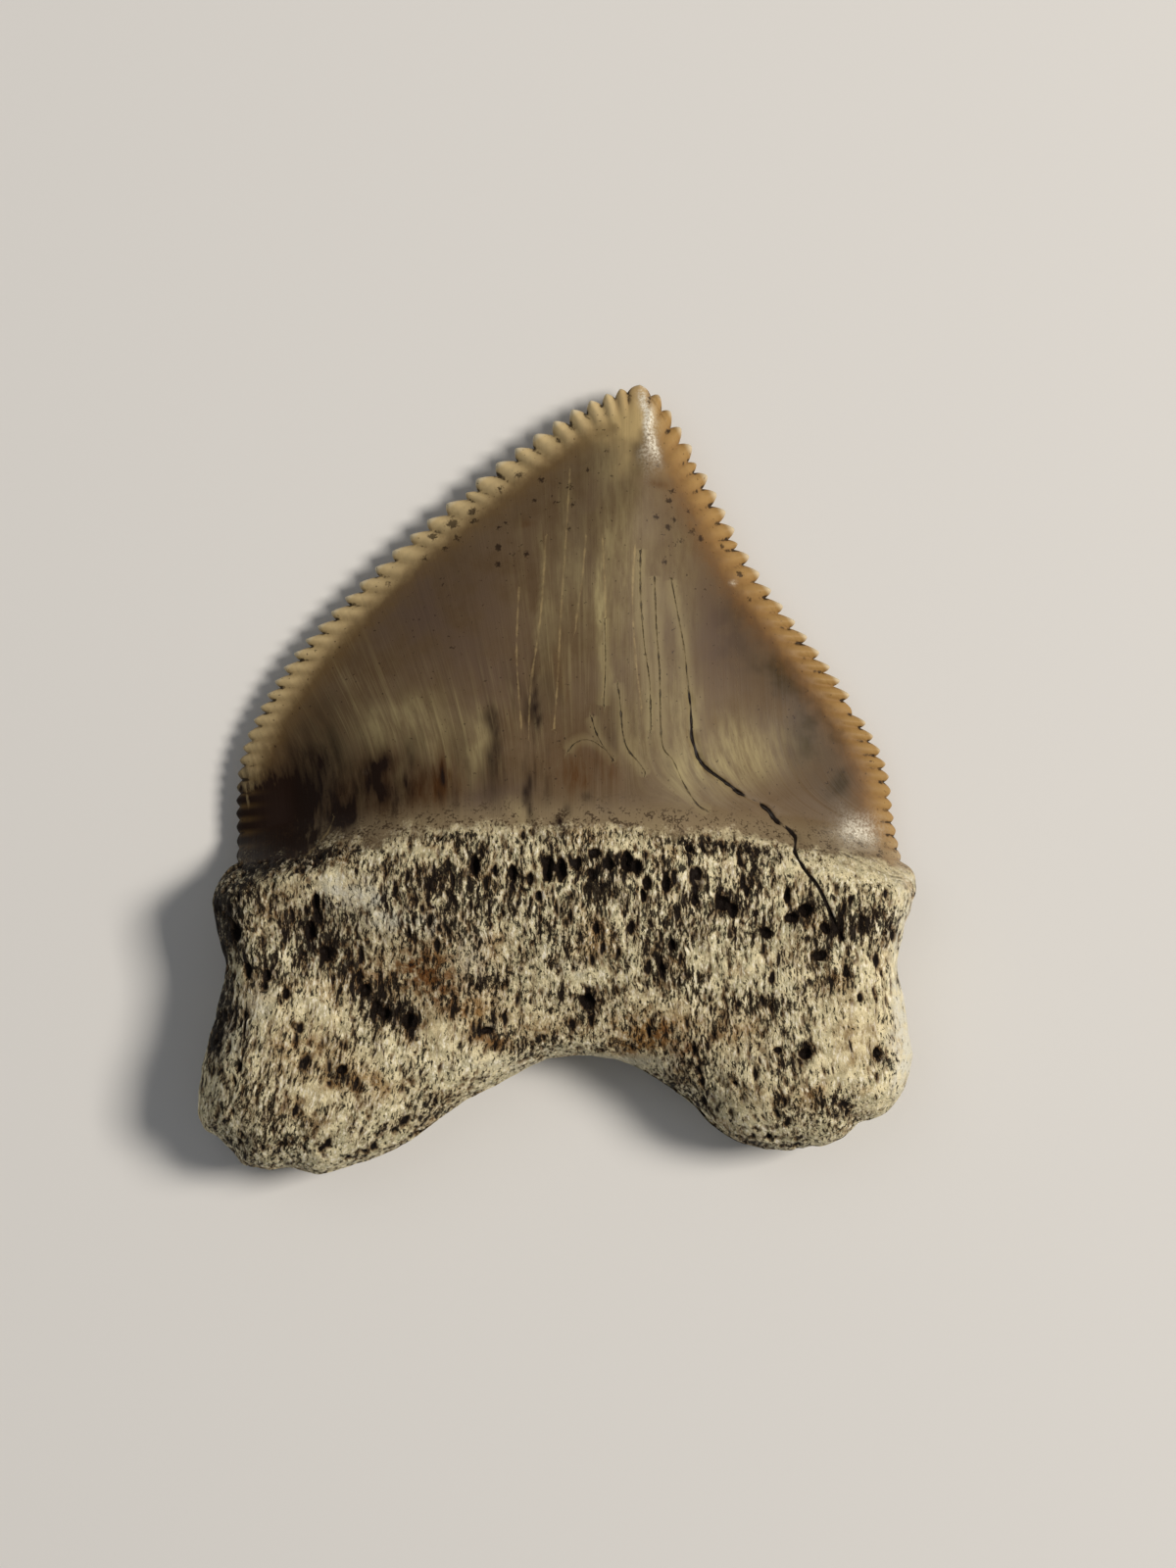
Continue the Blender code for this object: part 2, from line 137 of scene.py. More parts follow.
def smoothLine(points):
    # A curve through given points: each span is a cubic, sloped at a point like the line between
    # that point's neighbours
    p = np.array(points, float)
    ends = np.vstack([2 * p[0] - p[1], p, 2 * p[-1] - p[-2]])
    t = np.linspace(0, 1, layout["spanSamples"], endpoint=False)[None, :, None]
    a, b, c, d = (ends[k:len(ends) - 3 + k, None, :] for k in range(4))
    line = 0.5 * (2 * b + (c - a) * t + (2 * a - 5 * b + 4 * c - d) * t**2 + (3 * b - a - 3 * c + d) * t**3)
    return np.vstack([line.reshape(-1, 2), p[-1:]])


def walk(line, shares):
    # The points that lie at the given shares of a line's length
    along = np.concatenate([[0], np.cumsum(np.linalg.norm(np.diff(line, axis=0), axis=1))])
    at = np.asarray(shares) * along[-1]
    return np.stack([np.interp(at, along, line[:, k]) for k in range(2)], axis=1)


def latticeValue(cell, seed):
    # The same random number between -1 and 1 each time for one lattice cell
    table = np.random.default_rng(seed).uniform(-1, 1, 8192)
    return table[(cell[..., 0] * 73856093 ^ cell[..., 1] * 19349663 ^ cell[..., 2] * 83492791) & 8191]


def softNoise(points, size, seed):
    # Random values at the corners of lattice cells of the given size, blended by soft steps in between
    p = points / np.array(size)
    base = np.floor(p).astype(np.int64)
    blend = softStep(p - base, 0, 1)
    total = np.zeros(len(p))
    for corner in itertools.product((0, 1), repeat=3):
        share = np.prod(np.where(corner, blend, 1 - blend), axis=1)
        total += share * latticeValue(base + np.array(corner), seed)
    return total


def scatteredPits(points, size, chance, seed):
    # Depth, 0 to 1, of pits of random place and radius, at most one to a lattice cell of the given size:
    # 1 - (distance / radius) ^ 2 inside a pit
    p = points / np.array(size)
    base = np.floor(p).astype(np.int64)
    depth = np.zeros(len(p))
    for offset in itertools.product((-1, 0, 1), repeat=3):
        cell = base + np.array(offset)
        centre = cell + 0.5 + 0.45 * np.stack([latticeValue(cell, seed + k) for k in range(3)], axis=1)
        radius = 0.46 + 0.28 * latticeValue(cell, seed + 3)
        present = np.clip((chance - 0.5 - 0.5 * latticeValue(cell, seed + 4)) * 5, 0, 1)
        near = 1 - ((p - centre) ** 2).sum(axis=1) / radius**2
        depth = np.maximum(depth, near * present)
    return depth


def sawEdge(law):
    # For each sample from shoulder to tip: its share of the edge's length, how far it stands out,
    # and its phase, which is -1 and 1 in the notches and 0 on a denticle's crest.
    # A denticle stands out by height * (1 - |phase| ^ roundness).
    rng = np.random.default_rng(law["seed"])
    count = law["count"]
    place = (np.arange(count) + 0.5) / count
    width = np.interp(place, *zip(*law["width"])) * (1 + shape["widthSpread"] * rng.uniform(-1, 1, count))
    height = np.interp(place, *zip(*law["height"]))
    runts, chipped = list(law["runts"]), list(law["chipped"])
    width[runts] *= shape["runtSize"]
    height[runts] *= shape["runtSize"]
    height[chipped] *= shape["chippedHeight"]
    notchAt = np.concatenate([[0], np.cumsum(width)])
    notchIndex = np.round(np.linspace(0, layout["edgeSamples"], count + 1)).astype(int)
    index = np.arange(layout["edgeSamples"])
    mine = np.searchsorted(notchIndex, index, side="right") - 1
    phase = 2 * (index - notchIndex[mine]) / np.diff(notchIndex)[mine] - 1
    at = notchAt[mine] + width[mine] * (phase + 1) / 2
    out = height[mine] * (1 - np.abs(phase) ** law["roundness"])
    apexPhase = np.linspace(-1, 0, layout["apexSamples"] + 1)
    at = np.concatenate([at, notchAt[-1] + shape["apexHalfWidth"] * (apexPhase + 1)])
    out = np.concatenate([out, shape["apexHeight"] * (1 - np.abs(apexPhase) ** shape["apexRoundness"])])
    return at / at[-1], out, np.concatenate([phase, apexPhase])


def wallShares(steps, length):
    # Shares of a length for columns that climb the root's quarter-round wall in even steps of arc:
    # in plan they lie at R * (1 - cos(arc / R)), and evenly once the wall is climbed
    radius = form["rootRounding"]
    start = layout["wallStep"] * (len(layout["rimIn"]) - 1)
    quarter = radius * math.pi / 2
    arc = np.linspace(start, length + quarter - radius, steps + 1)
    inset = np.where(arc < quarter, radius * (1 - np.cos(arc / radius)), arc - quarter + radius)
    return (inset - inset[0]) / (inset[-1] - inset[0])


def halfOutline(edge, root, corner, law):
    # One side of the outline from tip to notch
    shares, out, phase = sawEdge(law)
    crown = walk(smoothLine(edge), shares)
    line = smoothLine(root)
    turn = layout["spanSamples"] * corner
    flank = walk(line[:turn + 1], 1 - wallShares(layout["flankSamples"], layout["flankLength"])[::-1])
    lobe = walk(line[turn:], wallShares(2 * layout["halfColumns"], layout["lobeLength"]))
    points = np.vstack([crown[::-1], flank[1:], lobe[1:]])
    rest = len(points) - len(crown)
    return points, np.pad(out[::-1], (0, rest)), np.pad(phase[::-1], (0, rest), constant_values=-1)


def midlineRows(crownSteps, rootSteps):
    # Points down the midline in even steps: from under the tip to the seam, and from there to above the notch
    top, seam, bottom = np.array(shape["midline"])
    crown = top + (seam - top) * np.linspace(0, 1, crownSteps + 1)[:, None]
    root = seam + (bottom - seam) * np.linspace(0, 1, rootSteps + 1)[1:, None]
    return np.vstack([crown, root])


def toothOutline():
    # The closed loop (tip, left side, notch, right side), fitted to the tooth's width and height
    left = halfOutline(shape["leftEdge"], shape["leftRoot"], shape["leftCorner"], shape["leftSaw"])
    right = halfOutline(shape["rightEdge"], shape["rightRoot"], shape["rightCorner"], shape["rightSaw"])
    line, out, phase = (np.concatenate([a, b[-2:0:-1]]) for a, b in zip(left, right))
    crownSteps = layout["edgeSamples"] + layout["apexSamples"]
    middle = midlineRows(crownSteps, len(left[0]) - 1 - crownSteps)
    middle = np.vstack([middle, middle[-2:0:-1]])
    away = line - middle
    away /= np.linalg.norm(away, axis=1)[:, None]
    # the root's edge is worn into small bumps
    flat = np.column_stack([line, np.zeros(len(line))])
    worn = 0.6 * softNoise(flat, (1.1, 1.1, 1), 21) + 0.4 * softNoise(flat, (0.4, 0.4, 1), 22)
    index = np.minimum(np.arange(len(line)), len(line) - np.arange(len(line)))
    worn *= shape["rootRoughness"] * softStep(index, crownSteps, crownSteps + 20)
    line = line + away * worn[:, None]
    crest = line + away * out[:, None]
    low, high = crest.min(axis=0), crest.max(axis=0)
    scale = np.array([shape["width"], shape["height"]]) / (high - low)
    centre = (low + high) / 2
    return (line - centre) * scale, out, phase, (middle - centre) * scale


loop, standOut, sawPhase, loopMiddle = toothOutline()
loopCount = len(loop)
halfLoop = loopCount // 2
crownRows = (layout["edgeSamples"] + layout["apexSamples"]) // 2
toMiddle = loopMiddle - loop
toMiddle /= np.linalg.norm(toMiddle, axis=1)[:, None]
ribs = form["ribHeight"] * standOut / standOut.max()
print("outline:", loopCount, "samples")


def signedDistance(points, line, window):
    # Distance from each point to a line of straight pieces, positive on the line's right-hand side.
    # The nearest pieces are looked for around the nearest of every eighth corner.
    # Also gives how far past the line's ends the point lies.
    corners = line[::8]
    block = 4000
    nearest = np.concatenate([((points[k:k + block, None] - corners) ** 2).sum(axis=2).argmin(axis=1)
                              for k in range(0, len(points), block)])
    pieces = np.clip(8 * nearest[:, None] + np.arange(-window, window + 1), 0, len(line) - 2)
    start, step = line[pieces], (line[1:] - line[:-1])[pieces]
    gap = points[:, None] - start
    t = (gap * step).sum(axis=2) / (step**2).sum(axis=2)
    foot = start + np.clip(t, 0, 1)[:, :, None] * step
    best = ((points[:, None] - foot) ** 2).sum(axis=2).argmin(axis=1)
    rows = np.arange(len(points))
    gap, step, t, piece = gap[rows, best], step[rows, best], t[rows, best], pieces[rows, best]
    length = np.linalg.norm(step, axis=1)
    distance = np.linalg.norm(points - foot[rows, best], axis=1)
    side = np.where(step[:, 1] * gap[:, 0] - step[:, 0] * gap[:, 1] < 0, -1, 1)
    past = np.where(piece == 0, np.maximum(-t, 0), 0)
    past += np.where(piece == len(line) - 2, np.maximum(t - 1, 0), 0)
    return side * distance, past * length


def swell(x, y, forms):
    # Sum of soft mounds: height * exp(-(across / reach) ^ 2 - (along / reach) ^ 2)
    return sum(h * np.exp(-(((x - cx) / rx) ** 2) - ((y - cy) / ry) ** 2) for cx, cy, rx, ry, h in forms)


def archDistance(x, y):
    # How far above the arched line between crown and root a point lies
    return y - (form["archTop"] - form["archDrop"] * x * x)


def quarterRound(d):
    # Height of a quarter circle of unit height at distance d from its foot: sqrt(1 - (1 - d / R) ^ 2)
    return np.sqrt(1 - (1 - np.clip(d / form["rootRounding"], 0, 1)) ** 2)


def edgeHeight(x, y):
    # Height of the edge's crest: low along the crown, rising with the square towards the tip,
    # and higher on the root
    lift = np.clip((y - form["tipLiftFrom"]) / form["tipLiftLength"], 0, 1) ** 2
    crown = form["edgeLift"] + form["tipLift"] * lift
    share = softStep(archDistance(x, y), *form["blend"])
    return form["rootEdgeLift"] + (crown - form["rootEdgeLift"]) * share


def frontHeight(x, y, dLeft, dRight, edgeForm):
    # Fuller face: a domed blade above the arch and a rounded slab below it. The dome is
    # crownDome * (1 - exp(-soft distance / crownReach)), where the soft distance joins those to both edges:
    # (left ^ -p + right ^ -p) ^ (-1 / p), with a higher p and so a sharper ridge towards the tip.
    share = softStep(archDistance(x, y), *form["blend"])
    wings = 1 - form["wingThinning"] * softStep(np.abs(x - form["wingsCentre"]), *form["wings"])
    blunt, sharp = form["ridgePower"]
    power = blunt + (sharp - blunt) * softStep(y, *form["ridgeSharpens"])
    pull = 1 + sum(gain * softStep(y, low, high) for low, high, gain in form["ridge"])
    soft = (np.maximum(dLeft, 1e-3) ** -power + np.maximum(dRight * pull, 1e-3) ** -power) ** (-1 / power)
    dome = form["crownDome"] * (1 - form["tipThinning"] * softStep(y, *form["tipThins"]))
    crown = edgeForm + dome * (1 - np.exp(-soft / form["crownReach"])) * wings
    d = np.minimum(dLeft, dRight)
    root = form["rootDome"] * quarterRound(d)
    swollen = swell(x, y, form["swellings"]) * softStep(d, 0, form["swellFade"])
    return edgeHeight(x, y) + root + (crown - root) * share + swollen


def backHeight(x, y, d, edgeForm):
    # Flatter face, cut off level with the table at the rest spots
    share = softStep(archDistance(x, y), *form["blend"])
    crown = edgeForm + form["backCrown"] * (1 - np.exp(-d / form["backCrownReach"]))
    root = form["backRoot"] * quarterRound(d)
    free = np.maximum(edgeHeight(x, y) - root - (crown - root) * share, form["clearance"])
    spots = swell(x, y, [(cx, cy, reach, reach, depth) for cx, cy, reach, depth in form["restSpots"]])
    return np.where(d > form["restFrom"], np.maximum(free - spots, 0), free)


class Skin:
    # Collects the points of the surface and the triangles between them, as arrays

    def __init__(self):
        self.plan, self.edgeForm, self.inset, self.notch, self.isFront = [], [], [], [], []
        self.triangles = []
        self.count = 0

    def put(self, plan, edgeForm, front, inset=-9.0, notch=0.0):
        # Stores a grid of points (any shape, x and y last) and gives back their numbers in the same grid.
        # An inset of -9 marks points that aren't on the rim.
        numbers = np.arange(self.count, self.count + plan[..., 0].size).reshape(plan.shape[:-1])
        self.plan.append(plan.reshape(-1, 2))
        stores = (self.edgeForm, self.inset, self.notch, self.isFront)
        for store, value in zip(stores, (edgeForm, inset, notch, front)):
            store.append(np.broadcast_to(value, numbers.shape).ravel())
        self.count += numbers.size
        return numbers

    def grid(self, numbers):
        # Two triangles to each cell of a grid of points
        a, b, c, d = numbers[:-1, :-1], numbers[:-1, 1:], numbers[1:, 1:], numbers[1:, :-1]
        self.add(np.stack([a, b, c], -1), np.stack([a, c, d], -1))

    def merge(self, fine, coarse):
        # Three triangles to each pair of fine steps that meets one coarse step
        a, b, c, p, q = fine[:-1:2], fine[1::2], fine[2::2], coarse[:-1], coarse[1:]
        self.add(np.stack([a, b, p], -1), np.stack([b, q, p], -1), np.stack([b, c, q], -1))

    def add(self, *parts):
        self.triangles += [part.reshape(-1, 3) for part in parts]


def closedRing(numbers):
    # The ring with its first point again at the end
    return np.append(numbers, numbers[0])


def notchDepth(rows, inward):
    # 1 in the notch between two denticles, fading inwards by exp(-(inward / notchFade) ^ 2)
    fade = np.exp(-((inward / shape["notchFade"]) ** 2))
    return softStep(np.abs(sawPhase[rows]), *shape["notchPhase"]) * fade


def rimRings(skin, front, rim=None):
    # Rings over the rounded edge: down each denticle from its crest to just inside the notch floor,
    # or up the foot of the root's wall. In profile a denticle is a quarter ellipse, ribs and all.
    index = np.minimum(np.arange(loopCount), loopCount - np.arange(loopCount))
    bladeFrom, bladeTo = layout["bladeEnd"]
    blade = 1 - softStep(index.astype(float), 2 * crownRows + bladeFrom, 2 * crownRows + bladeTo)
    radius = form["rootRounding"]
    full = standOut + layout["rimIn"][-1]
    rings = [] if rim is None else [rim]
    for k, (off, inset) in enumerate(zip(layout["rimOut"], layout["rimIn"])):
        if k == 0 and rim is not None:
            continue
        wall = radius * (1 - math.cos(k * layout["wallStep"] / radius))
        travelled = blade * (standOut * off + inset) + (1 - blade) * wall
        plan = loop - toMiddle * standOut[:, None] + toMiddle * travelled[:, None]
        lens = np.sqrt(1 - (1 - np.clip(travelled / full, 0, 1)) ** 2)
        inward = travelled - standOut
        notch = notchDepth(np.arange(loopCount), np.maximum(inward, 0)) * blade
        rings.append(skin.put(plan, lens * (form["edgeHalf"] + ribs), front, inward, notch))
    for outer, inner in zip(rings, rings[1:]):
        skin.grid(np.stack([closedRing(outer), closedRing(inner)]))
    return rings


def between(start, end, shares):
    # Points at the given shares of the way from each start to its end
    return start[:, None, :] + (end - start)[:, None, :] * shares[:, :, None]


def crownGrid(skin, inner, innerPlan):
    # Rows run from the left edge to the midline and on to the right edge, columns from tip to seam.
    # Every second edge sample starts a row. The first row is folded along the midline under the tip.
    half = layout["halfColumns"]
    t = np.linspace(0, 1, half + 1)
    settle = softStep(np.linspace(0, 1, crownRows + 1), layout["settleFrom"], 1)[:, None]
    shares = t ** layout["crowding"] * (1 - settle) + wallShares(half, layout["lobeLength"]) * settle
    rows = np.arange(crownRows + 1) * 2
    sides = []
    for edgeRows in (rows, -rows % loopCount):
        inward = shares * np.linalg.norm(loopMiddle[rows] - innerPlan[edgeRows], axis=1)[:, None]
        rib = np.exp(-((inward / form["ribReach"]) ** 2)) * ribs[edgeRows][:, None]
        notch = notchDepth(edgeRows[:, None], inward + layout["rimIn"][-1])
        sides.append((between(innerPlan[edgeRows], loopMiddle[rows], shares), rib + form["edgeHalf"], notch))
    plan, edgeForm, notch = (np.concatenate([a[:, 1:], b[:, ::-1][:, 1:-1]], axis=1) for a, b in zip(*sides))
    firstRow = skin.put(plan[:1, :half], edgeForm[:1, :half], True)
    firstRow = np.concatenate([firstRow, firstRow[:, -2::-1]], axis=1)
    body = np.concatenate([firstRow, skin.put(plan[1:], edgeForm[1:], True, notch=notch[1:])])
    skin.grid(body)
    skin.merge(inner[:2 * crownRows + 1], body[:, 0])
    skin.merge(closedRing(inner)[::-1][:2 * crownRows + 1], body[:, -1])
    return np.concatenate([[inner[2 * crownRows]], body[-1], [inner[loopCount - 2 * crownRows]]])


def rootGrid(skin, inner, innerPlan, seam):
    # A patch stretched between its four sides: seam above, flanks left and right, lobes and notch below.
    # A point is the mean of the side-to-side and top-to-bottom lines less that of the corners.
    columns, rows = 4 * layout["halfColumns"], layout["flankSamples"]
    corner = 2 * crownRows
    half = wallShares(columns // 2, layout["lobeLength"])
    u = np.concatenate([half / 2, 1 - half[-2::-1] / 2])
    v = 1 - wallShares(rows, layout["flankLength"])[::-1]
    left, right = innerPlan[corner:corner + rows + 1], innerPlan[::-1][corner - 1:corner + rows]
    bottom = innerPlan[corner + rows:corner + rows + columns + 1]
    middle = loopMiddle[corner]
    top = np.vstack([left[0] + (middle - left[0]) * half[:, None],
                     middle + (right[0] - middle) * (1 - half[-2::-1])[:, None]])
    u, v = u[None, :, None], v[:, None, None]
    plan = (1 - v) * top + v * bottom + (1 - u) * left[:, None] + u * right[:, None]
    plan -= (1 - v) * ((1 - u) * left[0] + u * right[0]) + v * ((1 - u) * left[-1] + u * right[-1])
    body = skin.put(plan[1:-1, 1:-1], form["edgeHalf"], True)
    leftNumbers, rightNumbers = inner[corner + 1:corner + rows], inner[::-1][corner:corner + rows - 1]
    body = np.concatenate([leftNumbers[:, None], body, rightNumbers[:, None]], axis=1)
    body = np.concatenate([body, inner[None, corner + rows:corner + rows + columns + 1]])
    skin.grid(body)
    skin.merge(body[0], seam)


def backRings(skin, inner, innerPlan):
    # Rings close in on the midline, and are thinned by halves on the way
    every = 1
    reach = np.linalg.norm(loopMiddle - innerPlan, axis=1)
    lastInset = layout["backInsets"][-1][0]
    rings = [(inset, 0, e) for inset, e in layout["backInsets"]]
    rings += [(lastInset, share, e) for share, e in layout["backShares"]]
    outer = inner
    for inset, share, e in rings:
        inward = (inset + (reach - inset) * share)[::e]
        plan = innerPlan[::e] + toMiddle[::e] * inward[:, None]
        rib = np.exp(-((inward / form["ribReach"]) ** 2)) * ribs[::e]
        notch = notchDepth(np.arange(0, loopCount, e), inward)
        ring = skin.put(plan, form["edgeHalf"] + rib, False, notch=notch)
        if e == every:
            skin.grid(np.stack([closedRing(outer), closedRing(ring)]))
        else:
            skin.merge(closedRing(outer), closedRing(ring))
        outer, every = ring, e
    halfway = len(outer) // 2
    skin.grid(np.stack([outer[:halfway + 1], closedRing(outer)[::-1][:halfway + 1]]))


def toothSkin():
    # Both faces, joined at the crest of the edge
    skin = Skin()
    front = rimRings(skin, True)
    innerPlan = np.concatenate(skin.plan)[front[-1]]
    seam = crownGrid(skin, front[-1], innerPlan)
    rootGrid(skin, front[-1], innerPlan, seam)
    back = rimRings(skin, False, rim=front[0])
    backRings(skin, back[-1], innerPlan)
    triangles = np.concatenate(skin.triangles)
    a, b, c = triangles.T
    triangles = triangles[(a != b) & (b != c) & (c != a)]
    stores = (skin.plan, skin.edgeForm, skin.inset, skin.notch, skin.isFront)
    return [np.concatenate(store) for store in stores] + [triangles]


# Marks on the surface. They are placed by the photo's pixels, which onTooth turns into millimetres.
photo = {"centre": (569.5, 794.0), "pixel": 0.034578}
# Cracks and hairlines, along their course
crackLine = ((683, 596), (690, 633), (696, 666), (699, 696), (702, 722), (704, 753), (713, 778), (739, 799),
             (762, 815), (779, 824), (790, 837), (806, 850), (806, 865), (815, 883), (830, 906), (845, 940),
             (853, 955))
# how far a point lies past the end of a line counts taper times; points well off a hairline are given far
crack = {"halfWidth": 0.065, "depth": 0.13, "pullFrom": 0.3, "pullTo": 0.12, "taper": 5, "far": 9.0}
darkHairs = (
    ((652, 566), (652, 613), (656, 663), (661, 700), (662, 747)),
    ((666, 593), (668, 646), (671, 690), (673, 758), (684, 776), (695, 800), (708, 820), (721, 828)),
    ((628, 700), (631, 713), (634, 748), (639, 765), (651, 780), (658, 791)),
    ((603, 733), (608, 750), (617, 766), (626, 778)),
    ((579, 768), (586, 760), (595, 756), (606, 758), (618, 767)),
    ((616, 635), (617, 680), (615, 722)),
    ((852, 868), (875, 880), (896, 890), (915, 894)),
    ((671, 975), (676, 1000), (684, 1020), (688, 1045), (690, 1075)),
    ((751, 946), (758, 934), (769, 926)),
    ((740, 1088), (752, 1100), (764, 1112)),
    ((683, 596), (690, 633), (696, 666), (699, 698), (702, 722), (704, 745)),
)
# Pale lines along their course; the first is a painted highlight along the edge of the thin lower-left corner
paleHairs = (
    ((346, 832), (338, 850), (322, 868), (300, 881)),
    ((531, 603), (529, 672), (534, 746)),
    ((558, 550), (553, 629), (543, 704), (541, 757)),
    ((582, 481), (578, 550), (573, 629), (570, 693), (566, 746)),
    ((598, 550), (594, 598), (590, 624), (587, 650)),
    ((614, 550), (617, 613), (617, 672), (615, 714)),
    ((647, 560), (644, 613), (647, 672), (653, 725)),
)
